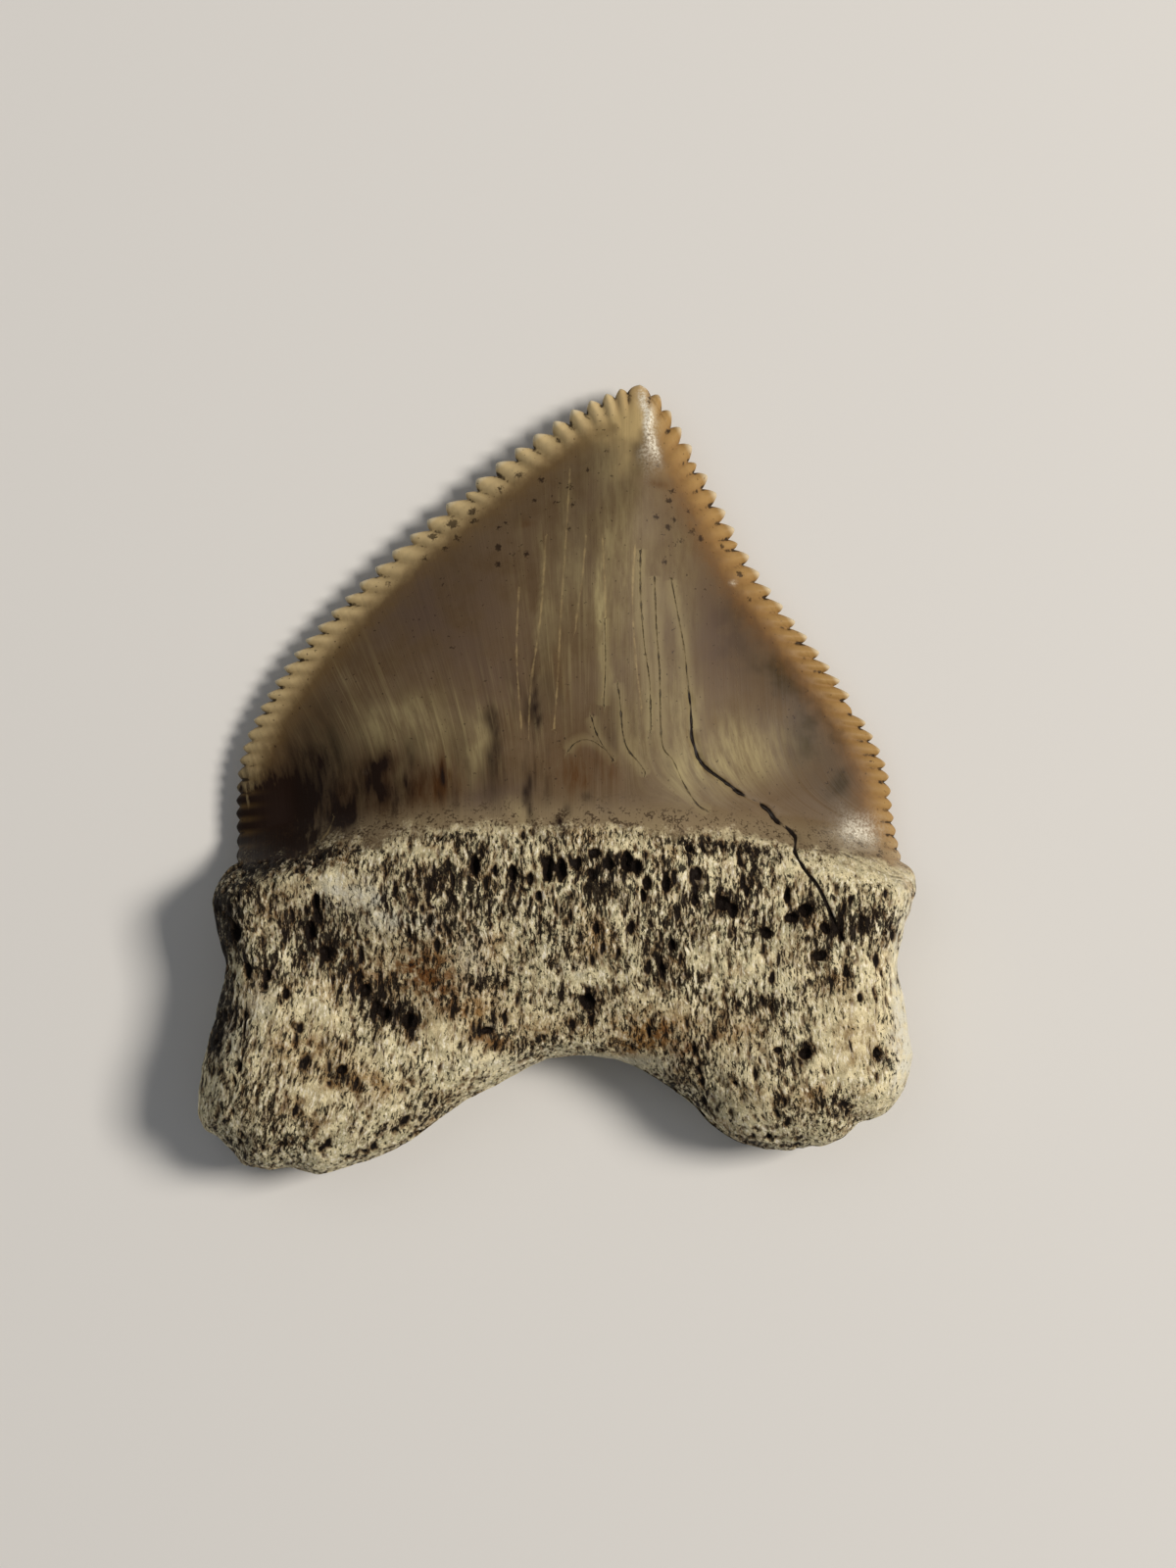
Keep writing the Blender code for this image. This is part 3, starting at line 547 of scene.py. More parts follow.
# Spots: x, y, half width, half length, strength
spots = {
    "rust": (
        (666, 498, 10, 5, 0.9), (540, 540, 5, 5, 0.7), (573, 690, 5, 25, 0.6), (598, 785, 30, 28, 0.6),
        (388, 800, 16, 30, 1.1), (357, 824, 18, 20, 1.0), (453, 790, 9, 30, 1.1), (432, 802, 24, 24, 0.8),
        (472, 800, 10, 20, 0.6), (590, 800, 9, 20, 0.6), (623, 790, 10, 14, 0.4),
        (581, 790, 12, 14, 0.5), (428, 812, 8, 14, 0.6), (405, 828, 14, 8, 0.7), (445, 812, 6, 14, 0.5),
        (451, 775, 4, 16, 0.5), (728, 742, 8, 6, 0.35), (711, 500, 9, 7, 0.4), (705, 520, 6, 8, 0.4),
        (355, 800, 16, 18, 0.35), (450, 995, 26, 24, 1.0), (430, 975, 18, 16, 0.7), (395, 885, 8, 7, 0.6),
        (300, 932, 26, 14, 0.6), (495, 1055, 16, 10, 0.6), (282, 982, 10, 5, 0.8), (375, 1112, 14, 10, 0.6),
        (673, 1045, 16, 9, 0.9), (693, 1065, 14, 10, 1.0), (738, 1040, 16, 12, 0.5), (828, 1082, 8, 6, 0.5),
        (773, 1060, 14, 12, 0.4), (700, 935, 12, 16, 0.4), (887, 1040, 9, 6, 0.6), (262, 1112, 12, 10, 0.4),
        (330, 1150, 14, 8, 0.4), (812, 955, 12, 10, 0.5), (545, 975, 10, 8, 0.3),
        (400, 985, 30, 24, 0.5), (360, 950, 22, 22, 0.4), (470, 1015, 20, 14, 0.4)),
    # dark stains and dirt, and painted shade: the first four spots darken the thin lower-left corner, partly
    # its own dark brown and partly painted shade; (228, 960) and (232, 1010) are painted shade down the
    # root's left side
    "dark": (
        (280, 842, 46, 42, 1.3), (298, 816, 74, 58, 0.6), (262, 862, 20, 22, 0.9), (290, 858, 34, 20, 0.6),
        (388, 795, 8, 20, 0.5), (541, 803, 4, 22, 0.9), (506, 770, 8, 22, 0.6), (357, 830, 8, 14, 0.6),
        (452, 800, 3, 18, 0.6), (470, 812, 4, 14, 0.5), (408, 822, 5, 14, 0.5), (425, 800, 4, 22, 0.4),
        (228, 960, 12, 70, 0.9), (232, 1010, 10, 50, 0.6),
        (345, 955, 26, 30, 0.4), (385, 1010, 28, 20, 0.45), (330, 922, 34, 14, 0.35),
        (425, 1035, 20, 14, 0.4),
        (262, 882, 16, 5, 0.9), (386, 782, 12, 9, 0.5), (394, 800, 5, 24, 0.5), (421, 770, 7, 14, 0.4),
        (385, 805, 36, 26, 0.45), (330, 770, 34, 24, 0.35), (440, 795, 30, 24, 0.3),
        (355, 832, 9, 10, 0.5), (451, 775, 4, 16, 0.3), (545, 712, 3, 36, 0.6), (502, 740, 6, 16, 0.6),
        (541, 728, 8, 12, 0.5), (510, 800, 12, 26, 0.3), (541, 830, 3, 18, 0.5), (568, 842, 5, 5, 0.8),
        (581, 830, 5, 8, 0.7), (603, 815, 4, 6, 0.6), (575, 850, 8, 8, 0.6), (560, 855, 5, 8, 0.5),
        (723, 858, 10, 4, 0.5), (745, 862, 10, 5, 0.5), (765, 866, 12, 4, 0.7), (785, 873, 10, 4, 0.6),
        (324, 945, 9, 16, 0.8), (340, 968, 10, 12, 0.8), (360, 985, 14, 8, 0.8), (380, 1003, 10, 9, 0.9),
        (397, 1027, 10, 5, 1.0), (391, 1020, 4, 8, 0.6), (420, 1032, 9, 10, 0.9), (425, 1048, 7, 9, 0.6),
        (357, 1082, 10, 12, 0.8), (370, 1100, 9, 9, 0.7), (330, 915, 4, 10, 0.7), (300, 937, 12, 16, 0.5),
        (322, 975, 5, 20, 0.6), (235, 925, 8, 14, 0.5), (250, 945, 8, 22, 0.5), (265, 978, 8, 12, 0.5),
        (282, 987, 4, 8, 0.7), (302, 1007, 4, 8, 0.6), (240, 985, 6, 30, 0.4), (500, 1045, 12, 8, 0.5),
        (512, 1035, 6, 10, 0.6), (803, 932, 10, 8, 0.8), (815, 925, 12, 10, 0.7), (734, 917, 7, 10, 0.5),
        (777, 947, 8, 8, 0.6), (830, 970, 8, 8, 0.6), (790, 1015, 8, 10, 0.5), (814, 1066, 9, 6, 1.0),
        (888, 1068, 6, 9, 0.6), (885, 970, 8, 8, 0.4), (905, 945, 6, 10, 0.4), (683, 962, 4, 8, 0.6),
        (600, 1017, 10, 12, 0.4), (608, 1010, 6, 8, 0.4)),
    # single flecks in the enamel, sharper than the rest
    "flecks": (
        (510, 563, 3.5, 3.5, 1), (538, 570, 3, 3, 0.9), (510, 580, 3, 3, 0.9), (510, 542, 3, 3, 0.7),
        (525, 569, 2.5, 2.5, 0.6), (581, 502, 4, 5, 0.6), (568, 517, 5, 3, 0.5), (585, 520, 4, 3, 0.6),
        (546, 515, 3, 3, 0.6), (553, 494, 4, 4, 0.7), (600, 485, 3, 3, 0.6), (618, 465, 3, 3, 0.5),
        (518, 537, 3, 3, 0.6), (580, 545, 3, 3, 0.6), (553, 557, 3, 3, 0.5), (463, 537, 7, 5, 0.9),
        (483, 525, 6, 4, 0.8), (443, 550, 5, 4, 0.8), (485, 535, 5, 3, 0.7), (468, 552, 4, 4, 0.7),
        (456, 563, 4, 3, 0.7), (398, 598, 4, 3, 0.6), (435, 572, 5, 4, 0.5), (531, 488, 6, 4, 0.7),
        (511, 503, 5, 5, 0.5), (681, 516, 4, 3, 0.8), (668, 533, 3, 3, 0.8), (680, 543, 4, 3, 0.8),
        (686, 535, 3, 3, 0.7), (676, 578, 3, 3, 0.7), (705, 546, 3, 4, 0.7), (713, 553, 3, 4, 0.9),
        (700, 525, 3, 3, 0.6), (684, 506, 4, 3, 0.7), (692, 556, 5, 3, 0.5), (735, 560, 3, 3, 0.7),
        (753, 588, 4, 3, 0.9), (763, 613, 3, 3, 0.6), (670, 480, 4, 3, 0.4)),
    "cream": (
        (577, 590, 7, 80, 0.5), (590, 585, 5, 40, 0.4), (617, 630, 5, 70, 0.8), (560, 640, 8, 50, 0.3),
        (551, 620, 3, 60, 0.5), (630, 560, 26, 80, 0.25), (690, 600, 22, 70, 0.25), (755, 765, 46, 30, 0.75),
        (730, 785, 35, 22, 0.4), (706, 740, 8, 40, 0.3), (690, 740, 13, 60, 0.55), (658, 740, 16, 50, 0.4),
        (700, 790, 24, 24, 0.4), (385, 735, 26, 20, 0.3), (430, 752, 30, 22, 0.45), (490, 760, 9, 30, 0.8),
        (416, 795, 6, 18, 0.6), (371, 812, 7, 16, 0.5), (350, 770, 26, 22, 0.25), (455, 735, 26, 30, 0.3),
        (530, 832, 9, 14, 0.8), (655, 850, 26, 6, 0.7), (700, 852, 20, 7, 0.4), (431, 840, 12, 4, 0.4),
        (420, 728, 16, 16, 0.6), (388, 750, 10, 22, 0.5), (625, 470, 24, 26, 0.4), (640, 760, 12, 30, 0.3),
        (635, 600, 36, 110, 0.3)),
    # a cream tip; the last spot, on the facet right of the ridge, is a painted highlight
    "ivory": (
        (636, 420, 28, 24, 1.5), (624, 442, 24, 18, 0.6), (638, 462, 14, 26, 0.5), (676, 440, 14, 34, 0.7)),
    "olive": (
        (838, 745, 30, 50, 1.2), (800, 690, 32, 30, 0.9), (852, 805, 14, 28, 0.7), (760, 620, 30, 60, 0.6),
        (700, 640, 14, 40, 0.25), (330, 745, 26, 40, 0.6), (300, 790, 20, 30, 0.5), (560, 690, 14, 40, 0.4)),
    "orange": (
        (665, 1046, 28, 22, 1.0), (640, 1058, 26, 14, 0.8), (484, 1027, 18, 18, 0.9),
        (505, 1055, 20, 12, 0.9),
        (560, 1040, 34, 14, 0.6), (740, 1045, 34, 22, 0.7), (362, 1085, 24, 16, 0.8),
        (450, 860, 14, 6, 0.7),
        (780, 1110, 40, 16, 0.5), (300, 1130, 34, 12, 0.5), (430, 980, 36, 26, 0.7), (860, 1050, 24, 34, 0.5),
        (310, 1060, 30, 26, 0.5), (300, 905, 30, 12, 0.4), (400, 1100, 30, 12, 0.5), (695, 1090, 26, 12, 0.6),
        (455, 1000, 60, 40, 0.6), (640, 1030, 60, 30, 0.35), (330, 1080, 50, 40, 0.3)),
    "mauve": (
        (430, 640, 60, 50, 0.5), (470, 600, 60, 40, 0.4), (620, 720, 30, 60, 0.35), (600, 560, 22, 60, 0.35),
        (498, 815, 26, 14, 0.8), (531, 802, 16, 14, 0.4), (631, 825, 26, 10, 0.8), (560, 820, 20, 10, 0.4),
        (700, 835, 40, 12, 0.5), (760, 850, 30, 10, 0.4), (500, 690, 40, 50, 0.4), (740, 650, 50, 50, 0.8),
        (815, 735, 38, 42, 0.9), (850, 790, 20, 40, 0.4), (690, 565, 20, 40, 0.3)),
    # painted highlights: the glare on the crown's lower right corner, two tiny glints, a sheen over the left
    # lobe, glints on the bone, the lit rim down the root's right side, the lit facet right of the ridge under
    # the tip, and a lighter band that offsets the shade along the notch's rim
    "white": (
        (870, 850, 20, 15, 1.2), (381, 789, 2.2, 2.2, 0.6), (743, 596, 2.5, 2.5, 0.6),
        (355, 907, 24, 14, 0.8),
        (385, 910, 20, 12, 0.6), (405, 932, 22, 12, 0.6), (442, 940, 22, 12, 0.5), (487, 970, 14, 22, 0.4),
        (275, 1010, 14, 18, 0.5), (247, 1050, 14, 26, 0.3), (587, 980, 8, 6, 0.7), (507, 1042, 8, 5, 0.6),
        (919, 1000, 13, 90, 1.5), (915, 1070, 13, 40, 1.1), (656, 425, 5, 26, 1.3), (661, 440, 7, 24, 0.9),
        (667, 462, 7, 14, 0.8), (590, 1080, 100, 9, 0.5)),
    # where the bone is dense and the pores are few
    "smooth": (
        (435, 867, 40, 12, 0.8), (280, 890, 44, 12, 0.6), (360, 905, 40, 20, 0.8), (420, 935, 40, 18, 0.5),
        (450, 1050, 22, 16, 0.8), (332, 1107, 26, 18, 0.8), (520, 965, 18, 24, 0.7),
        (600, 1078, 110, 14, 0.6),
        (718, 970, 22, 14, 0.7), (583, 995, 28, 12, 0.6), (728, 885, 18, 14, 0.5), (850, 880, 50, 14, 0.7),
        (890, 890, 40, 12, 0.7), (500, 1095, 60, 18, 0.4), (640, 1000, 18, 20, 0.4), (650, 860, 60, 8, 0.5),
        (275, 1010, 14, 18, 0.5), (850, 1080, 60, 40, 0.45), (918, 1000, 13, 100, 1.3),
        (550, 990, 14, 40, 0.4)),
    "paleStreaks": (
        (575, 620, 45, 130, 0.9), (420, 750, 85, 50, 0.9), (490, 740, 50, 50, 0.6), (690, 730, 40, 70, 0.4),
        (640, 740, 30, 60, 0.4), (360, 700, 40, 50, 0.5)),
    "darkStreaks": (
        (420, 790, 85, 40, 1), (530, 730, 30, 60, 0.7), (620, 760, 60, 40, 0.5), (690, 780, 40, 40, 0.4),
        (330, 770, 40, 50, 0.6), (560, 800, 40, 40, 0.6)),
    "hammered": ((662, 448, 10, 40, 1), (868, 852, 26, 20, 1)),
}
# Vessel openings under the neck and larger pits: x, y, half width, half length, depth in millimetres
openings = (
    (488, 878, 5, 11, 0.3), (508, 885, 3, 8, 0.22), (526, 886, 5, 9, 0.28), (543, 893, 4, 10, 0.24),
    (551, 910, 4, 7, 0.22), (560, 884, 6, 15, 0.36), (573, 884, 6, 14, 0.36), (590, 878, 4, 9, 0.26),
    (607, 867, 6, 6, 0.24), (605, 890, 4, 8, 0.24), (622, 879, 4, 8, 0.26), (638, 875, 7, 11, 0.4),
    (648, 881, 5, 9, 0.3), (658, 897, 5, 9, 0.3), (677, 897, 5, 12, 0.34), (654, 911, 3, 8, 0.2),
    (700, 862, 4, 4, 0.26), (708, 887, 5, 8, 0.24), (734, 917, 7, 9, 0.34), (743, 925, 6, 9, 0.3),
    (757, 907, 4, 8, 0.22), (705, 915, 4, 8, 0.2), (797, 910, 4, 11, 0.3), (815, 925, 8, 8, 0.36),
    (801, 932, 8, 6, 0.34), (835, 943, 5, 7, 0.3), (830, 970, 7, 6, 0.3), (814, 1066, 9, 6, 0.3),
    (888, 1066, 5, 7, 0.26), (788, 1062, 5, 4, 0.22), (673, 985, 4, 9, 0.24), (600, 1017, 8, 8, 0.3),
    (777, 947, 6, 6, 0.24), (630, 967, 3, 8, 0.2), (608, 942, 4, 9, 0.22), (642, 942, 4, 8, 0.22),
    (683, 960, 5, 8, 0.26), (330, 916, 4, 10, 0.28), (325, 945, 6, 12, 0.28), (340, 968, 6, 8, 0.26),
    (380, 1004, 7, 7, 0.3), (398, 1026, 8, 5, 0.34), (391, 1021, 4, 7, 0.3), (422, 1034, 6, 8, 0.3),
    (357, 1082, 6, 7, 0.24), (250, 948, 5, 12, 0.24), (282, 988, 4, 7, 0.24), (302, 1007, 4, 7, 0.22),
    (500, 1044, 6, 5, 0.22), (262, 985, 5, 9, 0.2), (745, 1096, 4, 3, 0.2), (780, 1152, 4, 4, 0.2),
    (905, 952, 4, 7, 0.2), (870, 1010, 4, 7, 0.18), (855, 985, 4, 8, 0.18), (316, 1040, 4, 7, 0.18),
)
# Heights and depths of the relief, and its sizes across, along and deep
relief = {
    "lump": 0.05, "lumpSize": (1.4, 1.4, 1.4), "grit": 0.03, "gritSize": (0.34, 0.6, 0.34),
    "poreSize": (0.18, 0.6, 0.4), "poreDepth": 0.14, "finePoreSize": (0.12, 0.34, 0.3), "finePoreDepth": 0.08,
    "wrinkle": 0.016, "wrinkleSize": (0.3, 5, 5), "hammer": 0.03, "hammerSize": (0.24, 0.24, 0.24),
    "backShare": 0.5,     # how deep it is on the flatter face
}
# Courses of the fibres: in the enamel they fan out on the left and flare at the lower right,
fibre = {"fanCentre": (1.05, -12.0), "fanFrom": 1.0, "fanSoftness": 1.5,
         "flare": 0.3, "flareFrom": 0.9, "flareLength": 1.1, "flareStart": (2.2, 4.2)}
# and in the root they are wavy, and lean outwards on the lobes
rootFibre = {"leanLeft": 0.16, "leanRight": 0.1, "waviness": 0.06, "waveSize": 0.3}


def onTooth(points):
    # The photo's pixels to millimetres: offset from the centre, y turned upwards, times a pixel's size
    centre, pixel = np.array(photo["centre"]), photo["pixel"]
    return (np.array(points, float) - centre) * [pixel, -pixel]


def blotches(points, marks):
    # Sum of soft spots: strength * exp(-(across / half width) ^ 2 - (along / half length) ^ 2)
    total = np.zeros(len(points))
    for px, py, halfWidth, halfLength, strength in marks:
        gap = (points - onTooth((px, py))) / (photo["pixel"] * np.array([halfWidth, halfLength]))
        total += strength * np.exp(-(gap**2).sum(axis=1))
    return total


def crackCourse(points):
    # Signed distance to the crack's course, and how far past its ends
    return signedDistance(points, smoothLine(onTooth(crackLine)), 16)


def pulledToCrack(points):
    # Points beside the crack move closer to it, so that its sides are steep: their distance shrinks to
    # pullTo of itself at the crack, and stays from pullFrom on
    side, past = crackCourse(points)
    reach = np.abs(side)
    pull = crack["pullTo"] + (1 - crack["pullTo"]) * reach / crack["pullFrom"]
    target = np.where(reach < crack["pullFrom"], reach * pull, reach)
    shift, _ = crackCourse(points + [0.01, 0])
    lift, _ = crackCourse(points + [0, 0.01])
    slope = np.column_stack([shift - side, lift - side])
    slope /= np.maximum(np.linalg.norm(slope, axis=1), 1e-9)[:, None]
    near = (reach < crack["pullFrom"]) & (past < 0.05)
    return np.where(near[:, None], points - slope * (np.sign(side) * (reach - target))[:, None], points)


plan, edgeForm, inset, notch, isFront, triangles = toothSkin()
isFront = isFront.astype(bool)
onRim = inset > -9       # rim points know how far in they are, and those on a denticle have less than 0
inBody = isFront & ~onRim
plan[inBody] = pulledToCrack(plan[inBody])
x, y = plan.T
dLeft = np.abs(signedDistance(plan, loop[:halfLoop + 1], 14)[0])
dRight = np.abs(signedDistance(plan, np.vstack([loop[halfLoop:], loop[:1]]), 14)[0])
rimDistance = np.maximum(inset, 0)
dLeft = np.where(onRim & (dLeft <= dRight), rimDistance, dLeft)
dRight = np.where(onRim & (dRight < dLeft), rimDistance, dRight)
d = np.where(onRim, rimDistance, np.minimum(dLeft, dRight))
z = np.where(isFront, frontHeight(x, y, dLeft, dRight, edgeForm), backHeight(x, y, d, edgeForm))
z[:loopCount] = edgeHeight(*plan[:loopCount].T)
points = np.column_stack([x, y, z])
print("surface:", len(points), "points,", len(triangles), "triangles")


def makeMesh(name):
    # The points and triangles as one smooth mesh in metres
    mesh = bpy.data.meshes.new(name)
    mesh.vertices.add(len(points))
    mesh.vertices.foreach_set("co", (points * mm).ravel())
    mesh.loops.add(triangles.size)
    mesh.loops.foreach_set("vertex_index", triangles.ravel())
    mesh.polygons.add(len(triangles))
    mesh.polygons.foreach_set("loop_start", np.arange(0, triangles.size, 3))
    mesh.update(calc_edges=True)
    mesh.validate()
    # turn every face outwards
    work = bmesh.new()
    work.from_mesh(mesh)
    bmesh.ops.recalc_face_normals(work, faces=work.faces)
    work.to_mesh(mesh)
    work.free()
    mesh.shade_smooth()
    return mesh


toothMesh = makeMesh("tooth_surface")
normals = np.empty(3 * len(points), np.float32)
toothMesh.vertices.foreach_get("normal", normals)
normals = normals.reshape(-1, 3)


def fibreWay(x, y):
    # Coordinate across the enamel's fibres, in millimetres. They fan out on the left wing down to fanFrom,
    # stand upright below that and in the middle, and flare to the right below,
    # by flare * exp((flareFrom - y) / flareLength).
    fanX, fanY = fibre["fanCentre"]
    low = fibre["fanFrom"]
    risen = 0.5 * (y + low + np.sqrt((y - low) ** 2 + fibre["fanSoftness"]))
    fan = fanX + (x - fanX) * (low - fanY) / (risen - fanY)
    rise = np.clip((fibre["flareFrom"] - y) / fibre["flareLength"], -8, 2.0)
    flare = fibre["flare"] * np.exp(rise) * softStep(x, *fibre["flareStart"])
    return np.where(x < fanX, fan, x - flare)


def rootWay(x, y):
    # Coordinate across the root's fibres: upright, and leaning outwards on the lobes
    lower = softStep(-y, 4, 13)
    leanLeft = rootFibre["leanLeft"] * softStep(-x, -2, 9) * lower
    leanRight = rootFibre["leanRight"] * softStep(x, 2, 11) * lower
    return x + (leanRight - leanLeft) * (y + 5)


def wobble(size, seed):
    # Soft noise of its own in x and in y
    shifts = [softNoise(points, (size,) * 3, seed + k) for k in range(2)]
    return np.column_stack([*shifts, np.zeros(len(points))])


arch = archDistance(x, y)
# the border between crown and root wanders
wander = 0.35 * softNoise(points, (1.3, 0.9, 0.9), 31) + 0.25 * softNoise(points, (0.34, 0.6, 0.6), 32)
enamel = softStep(arch + wander, -0.15, 0.75)
rootShare = 1 - enamel
# spots get uneven outlines, but for the flecks
warped = plan + 0.25 * wobble(0.7, 33)[:, :2]
masks = {name: blotches(plan if name == "flecks" else warped, marks) for name, marks in spots.items()}
masks = {name: np.clip(mask, 0, 2.5) * isFront for name, mask in masks.items()}
grainPoints = np.column_stack([rootWay(x, y), y, z])
grainPoints += rootFibre["waviness"] * wobble(rootFibre["waveSize"], 35)
# pores are many where the bone is open, and few where it is dense
openBone = 0.6 * softNoise(points, (1.6,) * 3, 37) + 0.4 * softNoise(points, (0.7,) * 3, 38)
openBone += 0.25 * softStep(y, -8.5, -4) - 0.1
density = np.clip(0.58 + 0.45 * openBone + 0.5 * masks["dark"] - 0.6 * masks["smooth"], 0, 1)
density *= softStep(-arch, -0.5, 0.15)
pores = np.clip(scatteredPits(grainPoints, relief["poreSize"], 0.6 * density, 41), 0, 1)
finePores = np.clip(scatteredPits(grainPoints, relief["finePoreSize"], 0.8 * density, 51), 0, 1)


def openingDepth():
    # Each opening is a rounded slot with an uneven rim: depth * (1 - r ^ 2) inside r = 1
    rough = 0.25 * softNoise(points, (0.16, 0.16, 0.3), 61)
    total = np.zeros(len(points))
    for px, py, halfWidth, halfLength, depth in openings:
        gap = (plan - onTooth((px, py))) / (photo["pixel"] * np.array([halfWidth, halfLength]))
        total = np.maximum(total, depth * np.clip(1 - (gap**2).sum(axis=1) + rough, 0, 1))
    return total * isFront


holes = openingDepth()
crackSide, crackPast = crackCourse(plan)
crackReach = np.abs(crackSide) + crack["taper"] * crackPast
downCrack = onTooth(crackLine[0])[1] - y      # how far below the crack's upper end
# pale bits bridge the crack in one stretch
bridged = softStep(softNoise(points, (0.3, 0.3, 3), 63), 0.1, 0.4)
bridged *= softStep(downCrack, 6.5, 7.5) * softStep(-downCrack, -10.2, -9.4)
opened = softStep(downCrack, 2.9, 4.8) * (1 - 0.85 * bridged)
opened *= 0.75 + 0.6 * softNoise(points, (0.35, 0.35, 3), 62)
crackWidth = crack["halfWidth"] * np.clip(0.3 + 0.75 * opened + 0.3 * softStep(downCrack, 6, 8), 0.3, 1.5)
groove = crack["depth"] * np.clip(1 - (crackReach / (1.2 * crackWidth)) ** 2, 0, 1) * np.clip(opened, 0, 1)

detail = np.where(isFront, 1, relief["backShare"])
ways = np.column_stack([fibreWay(x, y), y, z])
wrinkles = softNoise(ways, relief["wrinkleSize"], 71) * softStep(-y, -9, 1) * softStep(d, 0.5, 1.6)
hammered = softNoise(points, relief["hammerSize"], 72) * masks["hammered"]
lumps = softNoise(points, relief["lumpSize"], 73)
grains = softNoise(grainPoints, relief["gritSize"], 74)
sink = rootShare * (relief["poreDepth"] * pores + relief["finePoreDepth"] * finePores * (1 - pores)
                    + relief["lump"] * lumps + relief["grit"] * grains)
sink += enamel * (relief["wrinkle"] * wrinkles + relief["hammer"] * hammered)
sink = sink * detail * softStep(z, 0.02, 0.3) + holes + groove * isFront
sink[:loopCount] = np.maximum(sink[:loopCount], 0)
points = points - normals * sink[:, None]
points[:, 2] = np.maximum(points[:, 2], 0)
toothMesh.vertices.foreach_set("co", (points * mm).ravel())
toothMesh.update()
print("relief: done")


def paint(name, *columns):
    # Stores up to three numbers per point for the material to read
    layer = toothMesh.attributes.new(name, "FLOAT_VECTOR", "POINT")
    values = np.zeros((len(points), 3), np.float32)
    values[:, :len(columns)] = np.column_stack(columns)
    layer.data.foreach_set("vector", values.ravel())


def hairField(line):
    # Distance to a hairline's course, positive on its right-hand side and larger past its ends.
    # Points of the flatter face, or over a millimetre outside the box around it, get far instead.
    course = smoothLine(onTooth(line))
    low, high = course.min(axis=0) - 1, course.max(axis=0) + 1
    close = isFront & (plan > low).all(axis=1) & (plan < high).all(axis=1)
    field = np.full(len(points), crack["far"])
    side, past = signedDistance(plan[close], course, 12)
    field[close] = side + np.sign(side) * crack["taper"] * past
    return field


# What the material reads, one number to a point each
channels = {
    "enamel": np.clip(arch + wander, -2, 3), "inward": np.where(onRim, inset, d), "notch": notch,
    "neck": np.exp(-(((arch - 0.5) / 0.6) ** 2)), "density": density,
    "pores": np.clip(np.maximum(pores * 1.2, finePores * 0.8) * rootShare + holes / 0.16, 0, 1.5),
    "rightSide": (x > 2) * softStep(x, 1, 4),
    "crackSide": crackSide + np.sign(crackSide) * crack["taper"] * crackPast, "crackWidth": crackWidth,
    "crackOpen": np.clip(opened, 0, 1) * isFront,
    **{name: mask for name, mask in masks.items() if name != "smooth"},
    **{f"darkHair{k}": hairField(line) for k, line in enumerate(darkHairs)},
    **{f"paleHair{k}": hairField(line) for k, line in enumerate(paleHairs)},
}
channelNames = list(channels)
for k in range(0, len(channelNames), 3):
    paint(f"marks{k // 3}", *(channels[name] for name in channelNames[k:k + 3]))
paint("fibreWays", *ways.T)
paint("rootWays", *grainPoints.T)
print("marks:", len(channelNames), "channels")


def placed(name, data):
    # Adds an object to the scene
    made = bpy.data.objects.new(name, data)
    bpy.context.scene.collection.objects.link(made)
    return made


tooth = placed("tooth_surface", toothMesh)

colours = {
    "body": "#5A4730", "bodyGrey": "#67553F", "mauve": "#524138", "cream": "#9A8D66", "paleStreak": "#92845F",
    "darkStreak": "#2C1C0B", "amberLeft": "#705730", "amberRight": "#745027", "denticleLeft": "#C9B385",
    # the denticles' pale tips on the next line also carry a painted highlight, and the darkest colour there
    # also paints shade in places
    "denticleRight": "#A3824F", "denticleTipAndHighlight": "#E9DFC2", "rust": "#4F300C", "dark": "#190900",
    # the first colour on the next line is for painted highlights, the second darkens the notches between
    # denticles
    "white": "#EEE8D6", "notchDark": "#1A0F06", "ivory": "#B7A070", "olive": "#36280E", "hairline": "#1C120A",
    "neckDirt": "#2E1E0E", "neckGrey": "#968668", "bone": "#E3D7AF", "boneGreen": "#B2AA88",
    # the last colour on the next line is for painted highlights on the bone
    "boneBrown": "#64451F", "boneRust": "#66401D", "boneOrange": "#9A7746", "boneHighlight": "#D4D1C1",
    # the first colour on the next line is for painted glints on the bone's grain
    "boneGlint": "#FAF4E0", "pore": "#120802",
}
# Patterns: what they follow, their size across, along and deep in millimetres, detail and roughness.
# The enamel's fibres, the grit and the bone's finest grain are drawn coarser than the real ones,
# so that they show.
patterns = {
    "cloud": ("object", (1.6, 1.6, 1.6), 3, 0.55),
    "patches": ("object", (0.5, 0.5, 0.5), 3, 0.7),
    "mottle": ("object", (0.35, 0.35, 0.35), 3, 0.6),
    "speckle": ("object", (0.13, 0.13, 0.13), 1, 0.5),
    "grit": ("object", (0.09, 0.09, 0.09), 2, 0.6),
    "fibres": ("fibreWays", (0.16, 5.5, 5.5), 3, 0.6),
    "fineFibres": ("fibreWays", (0.07, 3.0, 3.0), 2, 0.6),
    "broadFibres": ("fibreWays", (0.4, 3.0, 3.0), 3, 0.6),
    "streaks": ("fibreWays", (0.22, 1.1, 1.1), 4, 0.62),
    "gaps": ("fibreWays", (0.7, 1.8, 1.8), 2, 0.5),
    "fineBone": ("rootWays", (0.1, 0.3, 0.2), 3, 0.7),
    "wideBone": ("rootWays", (0.22, 0.95, 0.45), 4, 0.7),
}
